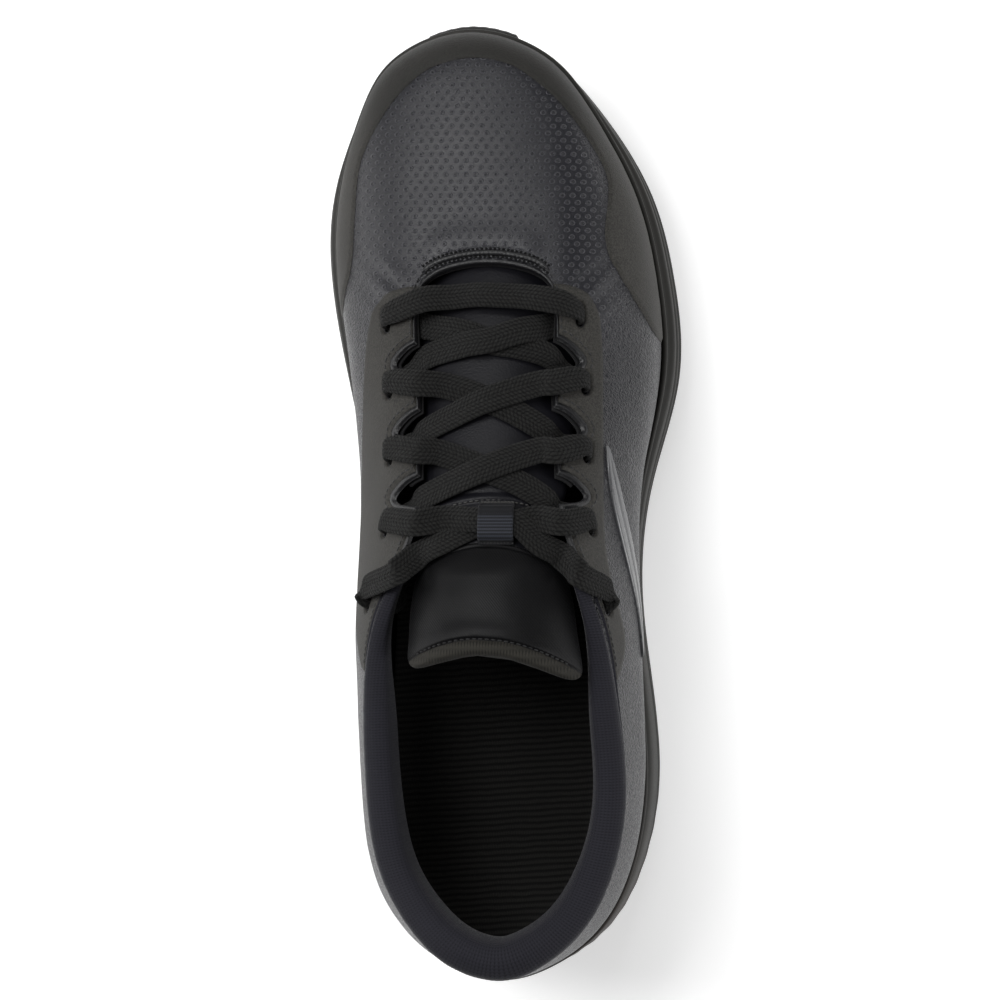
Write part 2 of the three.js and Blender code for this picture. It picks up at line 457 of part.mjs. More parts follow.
// ---- padded collar ----------------------------------------------------------------------------------
// The foam fills from the shell inwards; a knit skin wraps over it from the leather's edge down to the lining.
const COLLAR_T = range(-6.5, 6.5);
const ease = (t) => slip(7, 4.6, Math.abs(t)); // thinner towards the front ends
const swell = (t, s) => (s < 3.5 ? 1.4 : s < 4.1 ? 6 : s < 4.6 ? 9.4 : 9.2) * (0.12 + 0.88 * ease(t)) * (0.72 + 0.28 * slip(5, 1, Math.abs(t)));
function collarLine(t, grow) {
  const pts = [], e = ease(t), top = surface(t, 5), wide = depth(t, 5) + swell(t, 5) - 0.6;
  const inward = new THREE.Vector3(-top.n.x, -top.n.y, 0).normalize(), up = new THREE.Vector3(0, 0, 1);
  const tip = (a, z) => top.p.clone().addScaledVector(inward, a).addScaledVector(up, z);
  // outside edge, over the top, down the inside
  pts.push(tip(0.6 - grow, 1.2), tip(0.6 + 0.11 * wide - grow * 0.8, 1.4 + 3.4 * e + grow * 0.7), tip(0.6 + 0.45 * wide, 1.5 + 4.9 * e + grow), tip(0.6 + 0.82 * wide + grow * 0.5, 1.3 + 3.2 * e + grow * 0.8));
  for (const s of [4.95, 4.5, 4, 3.4]) pts.push(offset(t, s, -depth(t, s) - swell(t, s) - grow));
  return pts;
}
const collarBack = (t) => [5, 4.5, 4, 3.4].map((s) => offset(t, s, -depth(t, s)));
const holes5 = slots.filter((_, i) => i % 5 === 4);
{
  const cols = COLLAR_T.map((t) => [...collarLine(t, 0), ...collarBack(t).reverse()]);
  const K = cols[0].length, points = cols.flat(), faces = [], at = (c, k) => c * K + ((k + K) % K);
  for (let c = 0; c < cols.length - 1; c++)
    for (let k = 0; k < K; k++) faces.push([at(c, k), at(c + 1, k), at(c + 1, k + 1)], [at(c, k), at(c + 1, k + 1), at(c, k + 1)]);
  const end = (c, flip) => { const tri = (a, b, d) => faces.push(flip ? [at(c, a), at(c, d), at(c, b)] : [at(c, a), at(c, b), at(c, d)]);
    // 0..7 front line, 8..11 back line from the bottom (8) to the top (11)
    tri(7, 8, 6); tri(8, 9, 6); tri(6, 9, 5); tri(9, 10, 5); tri(5, 10, 4); tri(10, 11, 4); tri(4, 11, 3); tri(3, 11, 2); tri(2, 11, 1); tri(1, 11, 0); };
  end(0, false); end(cols.length - 1, true);
  let m = solid(geometry(points, faces));
  if (m.volume() < 0) m = solid(geometry(points, faces.map(([a, b, c]) => [a, c, b])));
  add("collar_foam", toGeometry(biggest(cutAll(m, holes5))), M.foam);
}
{
  const line = (grow) => { const cols = COLLAR_T.map((t) => collarLine(t, grow)); return cols[0].map((_, k) => cols.map((c) => c[k])); };
  let m = solid(slab(line(1.0), line(GAP)));
  if (m.volume() < 0) m = solid(slab(line(GAP), line(1.0)));
  add("collar_knit", toGeometry(biggest(cutAll(m, holes5))), M.knit);
}

// ---- tongue ------------------------------------------------------------------------------------------
const tongueMid = table([[-54, 1], [-20, 0.9], [0, 0.5], [18, -0.2], [40, -0.9], [75, -2], [96, -4]]);
const tongueZ = table([[-54, 111], [-45, 108.6], [-30, 103.6], [-10, 96.8], [11, 89.6], [32, 82], [54, 74.8], [68, 69], [75, 65.8], [88, 61.4], [96, 58.6]]);
const tongueHalf = table([[-54, 21.6], [-40, 22.6], [-30, 23.2], [-20, 21.8], [-12, 20.6], [-4, 21], [10, 24], [40, 25.4], [75, 22], [96, 17]]);
const arch = (x, R = 33) => R - Math.sqrt(Math.max(R * R - x * x, 40));
const tongueTop = (x, y) => tongueZ(y) - arch(x - tongueMid(y));
const TONGUE_SEAM = -12;
const W7 = range(-1, 1, 0.25);
const tongueGrid = (ys, drop, lift = () => 0) => ys.map((yf) => W7.map((w) => {
  const y = typeof yf === "function" ? yf(w) : yf, x = tongueMid(y) + w * tongueHalf(y);
  return new THREE.Vector3(x, y, tongueTop(x, y) - drop + lift(w, y));
}));
const sag = (w, y) => -0.9 * w ** 4;
const lowerY = [94, 82, 70, 56, 42, 28, 14, 2, (w) => TONGUE_SEAM - 5.6 * w * w]; // cut back at the sides, so that the pad can fold down
add("tongue_lower", slab(tongueGrid(lowerY, 0, sag).reverse(), tongueGrid(lowerY, 2.2, sag).reverse()), M.leather);
const padFront = (w) => TONGUE_SEAM - 0.7 - 8 * w * w,
  padBack = (w) => -45 - 6.8 * Math.abs(w) ** 2,
  padY = [0, 0.22, 0.45, 0.7, 0.9, 1].map((v) => (w) => padFront(w) + v * (padBack(w) - padFront(w))),
  puff = (w, y) => 2.4 * (1 - w ** 4) * slip(TONGUE_SEAM - 0.5, TONGUE_SEAM - 8, y) * (1 - 0.7 * slip(-42, -51, y));
const padSlab = (a, b, la, lb) => slab(tongueGrid(padY, a, la).reverse(), tongueGrid(padY, b, lb).reverse());
const flip = (g) => { const m = solid(g); if (m.volume() > 0) return g; const i = g.index.array; for (let k = 0; k < i.length; k += 3) [i[k + 1], i[k + 2]] = [i[k + 2], i[k + 1]]; return g; };
add("tongue_pad_cover", flip(padSlab(0.2, 1, puff, puff)), M.knit);
add("tongue_pad_foam", flip(padSlab(1.3, 6, puff, () => 0)), M.foam);
add("tongue_pad_lining", flip(padSlab(6.3, 7.1, () => 0, () => 0)), M.lining);


// ---- lace, keeper and lace tips -----------------------------------------------------------------------
const V = (x, y, z) => new THREE.Vector3(x, y, z);
const padTop = (x, y) => { const w = (x - tongueMid(y)) / tongueHalf(y); return tongueTop(x, y) + (y < padFront(w) ? puff(w, y) : 0); };
const onTongue = (x, y, d) => {
  const sx = (padTop(x + 1, y) - padTop(x - 1, y)) / 2, sy = (padTop(x, y + 2) - padTop(x, y - 2)) / 4, n = V(-sx, -sy, 1).normalize();
  return { p: V(x, y, padTop(x, y)).addScaledVector(n, d), w: V(0, 1, sy) };
};
const onUpper = (x, y, d) => { const [t, q] = locate(x, y, x > 0); const { p, n } = surface(t, q); return { p: p.addScaledVector(n, d), w: V(0, 1, 0).addScaledVector(n, -n.y) }; };
const LOW = 1.1, HIGH = 3, OVER = 2.9, BELOW = -4.45;
// Above the topline at a given y.
const onEdge = (y, outer, lift) => {
  let best = 0, far = 1e9;
  for (let t = 4; t <= 12; t += 0.02) { const tt = outer ? t : RIBS - t, d = Math.abs(surface(tt, 5).p.y - y); if (d < far) { far = d; best = tt; } }
  const { p, n } = surface(best, 5);
  return { p: V(p.x, p.y, p.z + lift), w: V(0, 1, 0).addScaledVector(n, -n.y) };
};
const hole = (row, outer) => holes[(outer ? 0 : 5) + row - 1];
const through = (h, depths, lead = 0) => depths.map((d) => ({ p: h.p.clone().addScaledVector(h.n, d), w: h.along.clone().multiplyScalar(Math.sign(h.along.y) || 1), narrow: 1 }));
const toward = (h, d, x, y) => { const a = V(x - h.p.x, y - h.p.y, 0).normalize(); a.addScaledVector(h.n, -a.dot(h.n)).normalize(); return { p: h.p.clone().addScaledVector(h.n, d).addScaledVector(a, 3.3), w: h.along.clone().multiplyScalar(Math.sign(h.along.y) || 1), narrow: 1 }; };
// From hole a (leaving over or under the edge) to hole b, arriving from below and coming up.
function cross(rowA, outerA, high, from) {
  const m = outerA ? 1 : -1, a = hole(rowA, outerA), b = hole(rowA + 1, !outerA), lift = high ? HIGH : LOW;
  const k = { 1: { e: [20.5, 55], c: [8, 51], m: [-1, 48], f: [-17, 43.8], g: [-24, 40.6] }, 2: { e: [22, 36.4], c: [13, 34.6], m: [0, 30.2], f: [-17, 20.8], g: [-24, 18.6] }, 3: { e: [22, 15.8], c: [14, 14.4], m: [0, 9.4], f: [-17, 0.6], g: [-24, -1.8] } }[rowA];
  const mx = ([x, y]) => [x * m + (x * m < -15 ? -2.2 : x * m > 15 ? -0.5 : 0), y];
  const out = [];
  if (from === "under") out.push(...through(a, [-2.9]), toward(a, BELOW, ...mx(k.e)), onUpper(...mx(k.e), BELOW + 0.1));
  else out.push(...through(a, [1.2]), toward(a, OVER, ...mx(k.e)), onEdge(k.e[1] - 0.4, outerA, 3.3));
  out.push(onTongue(...mx(k.c), (from === "under" ? lift : lift + 1.2)), onTongue(...mx(k.m), lift), onTongue(...mx([-8, (k.m[1] + k.f[1]) / 2 + 1]), lift - (high ? 0.8 : 0)), onTongue(...mx(k.f), LOW + 0.45), onUpper(...mx(k.g), BELOW), toward(b, BELOW, ...mx(k.g)), ...through(b, [-2.9]));
  return out;
}
// From a row-4 hole over its edge, through the keeper, and on to the opposite fifth hole, going in from above.
const KEEPER = [3.2, -6.2];
function toKeeper(outerA, high) {
  const m = outerA ? 1 : -1, a = hole(4, outerA), b = hole(5, !outerA), d = high ? 2.75 : LOW;
  const [kx, ky] = KEEPER, x = (q) => (q - 1) * m + 1;
  const inside5 = !outerA ? 1 : -1;
  return [
    ...through(a, [1.2]), toward(a, OVER, 0, ky), onEdge(-5.8, outerA, 3.3), onTongue(x(14), -5.6, LOW + 1.6),
    { ...onTongue(kx + 5.4 * m, ky, d + 0.2), narrow: 1 }, { ...onTongue(kx, ky, d), narrow: 1 }, { ...onTongue(kx - 5.4 * m, ky - 0.8, d + 0.2), narrow: 1 },
    onTongue(x(-13), -12.8, 2.5), onTongue(x(-18.5), -16.4, 3), onEdge(-21.4, !outerA, 5.4), { ...toward(b, OVER + 0.3, -20 * m, -18), narrow: 1 },
    ...through(b, [1.2, -3, -7.6]),
    { p: V(27 * inside5, -27.5, 74), w: V(0, 1, 0.2) }, { p: V(29.5 * inside5, -19, 60), w: V(0, 0.8, 0.6) }, { p: V(32.5 * inside5, -4, 48.5), w: V(0, 0.5, 0.86) },
    { p: V(31 * inside5 - 1, 12, 39), w: V(0.5 * inside5, 0, 0.86) }, { p: V(28 * inside5 - 1.5, 28, insoleTop(28) + 2), w: V(inside5, 0, 0.1) }, { p: V(25.5 * inside5 - 3, 46, insoleTop(46) + 1.1), w: V(inside5, 0, 0) }, { p: V(23.5 * inside5 - 4, 66, insoleTop(66) + 1.1), w: V(inside5, 0, 0), narrow: 2 },
  ];
}
const insoleTop = (y) => insoleZ(y) + thick(y) + 1.12;
const half = (outer) => [
  ...cross(1, outer, outer, "under"), // arrives at row 2 on the other side
  ...cross(2, !outer, !outer, "over"),
  ...cross(3, outer, outer, "over"),
  ...toKeeper(!outer, outer),
];
const bar = (outer) => { const m = outer ? 1 : -1, h = hole(1, outer); return [{ ...onTongue(9 * m - 2, 61.2, 3.4) }, onUpper(19.5 * m - 1, 60.2, OVER + 0.4), toward(h, OVER, 0, 62), ...through(h, [1.2])]; };
const lacePoints = [...[...bar(false), ...half(false)].reverse(), onTongue(-2, 61.8, 3), ...bar(true), ...half(true)];
function sweep(pts, width, thick2) {
  const n = pts.length, rings = [];
  const P = (i) => pts[Math.max(0, Math.min(n - 1, i))];
  const push = (p, w, tan, wd) => {
    const side = w.clone().addScaledVector(tan, -w.dot(tan)).normalize(), up = new THREE.Vector3().crossVectors(tan, side).normalize();
    rings.push([[-1, -1], [1, -1], [1, 1], [-1, 1]].map(([a, b]) => p.clone().addScaledVector(side, (a * wd) / 2).addScaledVector(up, (b * thick2) / 2)));
  };
  for (let i = 0; i < n - 1; i++) {
    const p0 = P(i - 1).p, p1 = P(i).p, p2 = P(i + 1).p, p3 = P(i + 2).p, L = p1.distanceTo(p2), steps = Math.max(1, Math.round(L / 5.5));
    const m1 = p2.clone().sub(p0).multiplyScalar(L / (p2.distanceTo(p1) + p1.distanceTo(p0) || 1)), m2 = p3.clone().sub(p1).multiplyScalar(L / (p3.distanceTo(p2) + p2.distanceTo(p1) || 1));
    for (let k = 0; k < steps + (i === n - 2 ? 1 : 0); k++) {
      const u = k / steps, u2 = u * u, u3 = u2 * u;
      const p = p1.clone().multiplyScalar(2 * u3 - 3 * u2 + 1).addScaledVector(m1, u3 - 2 * u2 + u).addScaledVector(p2, -2 * u3 + 3 * u2).addScaledVector(m2, u3 - u2);
      const tan = p1.clone().multiplyScalar(6 * u2 - 6 * u).addScaledVector(m1, 3 * u2 - 4 * u + 1).addScaledVector(p2, -6 * u2 + 6 * u).addScaledVector(m2, 3 * u2 - 2 * u).normalize();
      const w = P(i).w.clone().lerp(P(i + 1).w, u), nar = (P(i).narrow || 0) * (1 - u) + (P(i + 1).narrow || 0) * u;
      push(p, w, tan, width - 0.5 * Math.min(nar, 1) - 4 * Math.max(0, nar - 1));
    }
  }
  const faces = [], at = (r, c) => r * 4 + ((c + 4) % 4);
  for (let r = 0; r < rings.length - 1; r++) for (let c = 0; c < 4; c++) faces.push([at(r, c), at(r, c + 1), at(r + 1, c + 1)], [at(r, c), at(r + 1, c + 1), at(r + 1, c)]);
  const e = rings.length - 1;
  faces.push([at(0, 0), at(0, 2), at(0, 1)], [at(0, 0), at(0, 3), at(0, 2)], [at(e, 0), at(e, 1), at(e, 2)], [at(e, 0), at(e, 2), at(e, 3)]);
  return geometry(rings.flat(), faces);
}
add("lace", flip(sweep(lacePoints, LACE_W, LACE_T)), M.lace);
for (const [name, a, b] of [["lace_tip_inner", lacePoints[lacePoints.length - 1], lacePoints[lacePoints.length - 2]], ["lace_tip_outer", lacePoints[0], lacePoints[1]]]) {
  const d = a.p.clone().sub(b.p).normalize(), g = new THREE.CylinderGeometry(1.2, 1.4, 20, 8);
  g.applyMatrix4(new THREE.Matrix4().makeRotationFromQuaternion(new THREE.Quaternion().setFromUnitVectors(V(0, 1, 0), d)));
  const c = a.p.clone().addScaledVector(d, 10.3);
  add(name, g.translate(c.x, c.y, insoleTop(c.y) + 2), M.plastic);
}
{
  const [kx] = KEEPER, prof = [[2.2, 0.3], [-0.2, 0.3], [-0.9, 2.9], [-1.8, 4.5], [-6.2, 4.9], [-9.9, 4.5], [-10.9, 2.9], [-11.3, 0.5], [-11.9, 0.4]],
    grid = (d) => prof.map(([y, z]) => [-5.2, -1.8, 1.8, 5.2].map((x) => V(kx + x, y + (d ? 0 : y > -6 ? -0.55 : 0.55) * (z > 1 ? 1 : 0.2), tongueTop(kx + x, y) + z + d)));
  add("lace_keeper", flip(slab(grid(0.8), grid(0))), M.webbing);
}

for (const mesh of shoe.children) mesh.geometry.translate(...SHIFT);
export default shoe;
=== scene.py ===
import json
import math

import bpy
import numpy as np
from mathutils import Matrix, Vector


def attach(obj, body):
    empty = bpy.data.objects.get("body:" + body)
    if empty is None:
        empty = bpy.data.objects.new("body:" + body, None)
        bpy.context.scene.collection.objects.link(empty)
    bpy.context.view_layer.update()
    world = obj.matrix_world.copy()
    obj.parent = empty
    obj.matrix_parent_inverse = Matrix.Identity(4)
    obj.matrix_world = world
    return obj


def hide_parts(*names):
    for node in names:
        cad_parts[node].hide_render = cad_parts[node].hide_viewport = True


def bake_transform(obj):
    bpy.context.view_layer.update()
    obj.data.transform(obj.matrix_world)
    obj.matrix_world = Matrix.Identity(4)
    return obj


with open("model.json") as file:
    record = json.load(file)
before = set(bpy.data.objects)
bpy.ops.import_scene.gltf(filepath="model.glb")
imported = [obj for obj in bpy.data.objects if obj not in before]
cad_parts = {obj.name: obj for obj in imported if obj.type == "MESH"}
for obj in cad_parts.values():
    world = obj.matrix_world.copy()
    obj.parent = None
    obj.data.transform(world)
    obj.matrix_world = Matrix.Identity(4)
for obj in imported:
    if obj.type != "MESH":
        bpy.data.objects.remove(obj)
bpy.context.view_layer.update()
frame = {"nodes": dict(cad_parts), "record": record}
SHIFT = np.array([1.231, -0.35, 0.0])
HALF, RIBS = 13, 26
rng = np.random.default_rng(11)
SLOTS = {s["node"]: s["material_slot"] for s in frame["record"]["subparts"]}


# ---------------------------------------------------------------- camera first
def place_camera():
    cam = bpy.data.cameras.new("camera")
    cam.sensor_width, cam.lens = 36, 146.1
    cam.clip_start, cam.clip_end = 0.05, 20
    o = bpy.data.objects.new("camera", cam)
    bpy.context.scene.collection.objects.link(o)
    o.location = (0.1117 - 0.0003, 0.0004, 1.300)
    aim = Vector((-0.0003, 0.0004, 0.030))
    d = (o.location - aim).normalized()
    right = Vector((0, 1, 0)).cross(d).normalized()
    up = d.cross(right)
    o.rotation_mode = "QUATERNION"
    o.rotation_quaternion = Matrix((right, up, d)).transposed().to_quaternion()
    bpy.context.scene.camera = o


place_camera()

# ---------------------------------------------------------------- the shoe's reference surface


def table(rows):
    X, Y = (np.array([r[k] for r in rows], float) for k in (0, 1))
    m = np.empty(len(X))
    m[0], m[-1] = (Y[1] - Y[0]) / (X[1] - X[0]), (Y[-1] - Y[-2]) / (X[-1] - X[-2])
    m[1:-1] = (Y[2:] - Y[:-2]) / (X[2:] - X[:-2])

    def f(y):
        y = np.clip(np.asarray(y, float), X[0], X[-1])
        i = np.clip(np.searchsorted(X, y, "right") - 1, 0, len(X) - 2)
        h = X[i + 1] - X[i]
        u = (y - X[i]) / h
        return Y[i] * (1 + 2 * u) * (1 - u) ** 2 + Y[i + 1] * u * u * (3 - 2 * u) + h * m[i] * u * (1 - u) ** 2 + h * m[i + 1] * u * u * (u - 1)

    return f


groundLine = table([[-150, 8.5], [-141, 4], [-128, 0.9], [-114, 0], [-60, 0], [0, 0], [62, 0], [84, 1.4], [106, 5], [126, 11], [142, 18.5], [150, 23]])
groundZ = lambda y: np.maximum(0, groundLine(y))
rimZ = table([[-150, 46], [-130, 44], [-100, 40.5], [-60, 36.5], [-20, 33], [20, 30], [55, 28], [85, 28.5], [110, 31.5], [130, 36], [147, 41]])
floorZ = table([[-150, 31.5], [-120, 30.5], [-90, 30], [-50, 27.5], [0, 23.5], [50, 19.6], [80, 20], [105, 22.5], [125, 26.5], [145, 31]])
HEEL = [1, -146.3, 2.7, -141.5, 98]
TOE = [-9.5, 145.6, -2, 72.4, 69.9]
OUTER = [[16.5, -141.5, 14.6, -138.6, 97], [30.5, -130.5, 26.8, -129, 92.5], [39.6, -112, 35.6, -113, 85.5], [43.4, -86, 40, -89, 80.5], [41.2, -56, 37.9, -61, 81.5], [39.2, -25, 33.4, -34.5, 90], [42.2, 8, 24, -9.5, 94.6], [48.6, 40, 20.8, 11, 88.3], [47, 70, 19.4, 32, 80.8], [39.8, 98, 19.4, 54, 74.2], [25.8, 123.5, 16.6, 66.8, 70.9], [12.5, 138.5, 7.2, 71.4, 70.1]]
INNER = [[-14.5, -141.5, -10.2, -137.6, 97], [-28.7, -130.5, -21.4, -128, 92.5], [-37.8, -112, -31.8, -111, 85], [-40.8, -86, -36.6, -87, 79.5], [-39.6, -56, -37.4, -60, 80.5], [-38.6, -25, -33.2, -34, 89.5], [-41.4, 8, -22.4, -9.5, 94.6], [-46.6, 40, -20.8, 11, 88.3], [-51.4, 70, -21.6, 32, 80.8], [-50.6, 98, -23.4, 54, 74.2], [-42.6, 123.5, -20.8, 66.6, 70.9], [-31.5, 138.5, -11.4, 71.3, 70.1]]
RIB = [HEEL, *OUTER, TOE, *INNER[::-1]]
AT_RIM = [[1.4, 22], [1.9, 22], [2.7, 20], [3.6, 17], [4.5, 15], [7.5, 17], [9, 20], [8, 22], [5.5, 21], [4.5, 20], [4.5, 20], [4.5, 20], [4.5, 20], [4.5, 21]]
AT_TOP = [[1.2, 20], [1.5, 19], [2.2, 17], [3, 13], [3, 12], [4.5, 14], [9, 15], [15, 13], [17, 10.5], [18, 9.5], [22, 9], [33, 9], [43, 9.4], [47, 9.6]]


def rib_levels(i):
    jx, jy, tx, ty, tz = RIB[i]
    k = min(i, RIBS - i)
    a, b = RIB[(i - 1) % RIBS], RIB[(i + 1) % RIBS]
    d = np.array([b[0] - a[0], b[1] - a[1]], float)
    o = np.array([d[1], -d[0]]) / np.hypot(*d)
    jz = float(rimZ(jy))
    to = np.array([jx - tx, jy - ty], float)
    g = to / np.hypot(*to) if k > 6 else o
    A = np.array([jx, jy, jz])
    B = np.array([jx + o[0] * AT_RIM[k][0], jy + o[1] * AT_RIM[k][0], jz + AT_RIM[k][1]])
    C = np.array([tx + g[0] * AT_TOP[k][0], ty + g[1] * AT_TOP[k][0], tz - AT_TOP[k][1]])
    D = np.array([tx, ty, tz], float)
    bez = lambda u: A * (1 - u) ** 3 + 3 * B * u * (1 - u) ** 2 + 3 * C * u * u * (1 - u) + D * u**3
    return [np.array([jx - o[0] * 2.6, jy - o[1] * 2.6, float(floorZ(jy))]), bez(0), bez(0.28), bez(0.54), bez(0.78), bez(1)]


def control(points, closed):
    P = np.array(points, float)
    c = P.copy()
    for _ in range(90):
        if closed:
            a, b = np.roll(c, 1, 0), np.roll(c, -1, 0)
        else:
            a = np.concatenate([2 * c[:1] - c[1:2], c[:-1]])
            b = np.concatenate([c[1:], 2 * c[-1:] - c[-2:-1]])
        c = c + P - (a + 4 * c + b) / 6
    return c


basis = lambda u: np.stack([(1 - u) ** 3 / 6, (3 * u**3 - 6 * u * u + 4) / 6, (-3 * u**3 + 3 * u * u + 3 * u + 1) / 6, u**3 / 6], -1)
slope = lambda u: np.stack([-((1 - u) ** 2) / 2, (9 * u * u - 12 * u) / 6, (-9 * u * u + 6 * u + 3) / 6, (u * u) / 2], -1)
BY = np.array([rib_levels(i) for i in range(RIBS)])
ALONG = np.stack([control(BY[:, l], True) for l in range(6)])
NET = []
for i in range(RIBS):
    c = control(ALONG[:, i], False)
    NET.append(np.concatenate([2 * c[:1] - c[1:2], c, 2 * c[-1:] - c[-2:-1]]))
NET = np.array(NET)


def S(t, s):
    """Point and outward normal of the reference surface, in millimetres."""
    t, s = np.broadcast_arrays(np.asarray(t, float) % RIBS, np.asarray(s, float))
    i = np.floor(t).astype(int) % RIBS
    j = np.clip(np.floor(np.maximum(s, 0)).astype(int), 0, 4)
    bt, dt, bs, ds = basis(t - np.floor(t)), slope(t - np.floor(t)), basis(s - j), slope(s - j)
    p, pt, ps = (np.zeros(t.shape + (3,)) for _ in range(3))
    for a in range(4):
        for b in range(4):
            v = NET[(i + a - 1) % RIBS, j + b]
            p += v * (bt[..., a] * bs[..., b])[..., None]
            pt += v * (dt[..., a] * bs[..., b])[..., None]
            ps += v * (bt[..., a] * ds[..., b])[..., None]
    n = np.cross(pt, ps)
    return p, n / np.linalg.norm(n, axis=-1, keepdims=True)


FLARE = [[2.4, 2.4], [3, 2.4], [3.4, 2.6], [4, 3], [4.8, 3], [4.6, 2.6], [3.4, 2.6], [4, 3.2], [5.6, 4.6], [5.6, 5], [5, 4.6], [3, 2.4], [1.2, 0.8], [1.4, 1.4]]
FLARE_C = control([[FLARE[min(i, RIBS - i)][0 if i <= HALF else 1]] for i in range(RIBS)], True)
PLAN_C = control([[r[0], r[1]] for r in RIB], True)


def flare(t):
    t = np.asarray(t, float) % RIBS
    i, b = np.floor(t).astype(int), basis(t - np.floor(t))
    return sum(b[..., a] * FLARE_C[(i + a - 1) % RIBS, 0] for a in range(4))


def plan(t, out=0.0):
    t = np.asarray(t, float) % RIBS
    i, b, d = np.floor(t).astype(int), basis(t - np.floor(t)), slope(t - np.floor(t))
    p = sum(b[..., a, None] * PLAN_C[(i + a - 1) % RIBS] for a in range(4))
    q = sum(d[..., a, None] * PLAN_C[(i + a - 1) % RIBS] for a in range(4))
    q = q / np.linalg.norm(q, axis=-1, keepdims=True)
    return p + np.stack([q[..., 1], -q[..., 0]], -1) * np.asarray(out, float)[..., None]


def slip(a, b, x):
    u = np.clip((np.asarray(x, float) - a) / (b - a), 0, 1)
    return u * u * (3 - 2 * u)


wrapped = lambda t: np.minimum(np.asarray(t, float) % RIBS, RIBS - np.asarray(t, float) % RIBS)
stiffened = lambda t: np.maximum(1 - slip(4.05, 5.5, wrapped(t)), slip(9.4, 10.45, wrapped(t)))
depth = lambda t, s: 1.7 + 1.2 * stiffened(t) * (1 - slip(3.1, 4, s))

HOLES = [[26.2, 57, 69.539, 0.5217, 0.2248, 0.823, -0.0902, 0.9738, -0.2088], [28.2, 36.4, 74.217, 0.5715, 0.2558, 0.7797, -0.0924, 0.9642, -0.2485], [29.2, 15.6, 80.824, 0.6417, 0.2624, 0.7206, -0.0374, 0.9493, -0.3122], [30.4, -6, 86.293, 0.7873, 0.1787, 0.5902, -0.2298, 0.9732, 0.012], [35.2, -29.999, 85.857, 0.8692, 0.1117, 0.4816, -0.2621, 0.93, 0.2577], [-33, 55.6, 68.187, -0.6159, 0.1248, 0.7779, 0.0559, -0.978, 0.2012], [-31.8, 35.4, 72.741, -0.6879, 0.1429, 0.7116, 0.0501, -0.9688, 0.2429], [-30.801, 15, 78.328, -0.7764, 0.1395, 0.6146, 0.0412, -0.9619, 0.2704], [-31, -6.601, 83.669, -0.8131, 0.1775, 0.5544, -0.2463, -0.9678, -0.0516], [-36.2, -29.399, 82.756, -0.8818, 0.1381, 0.4509, -0.28, -0.9225, -0.2657]]
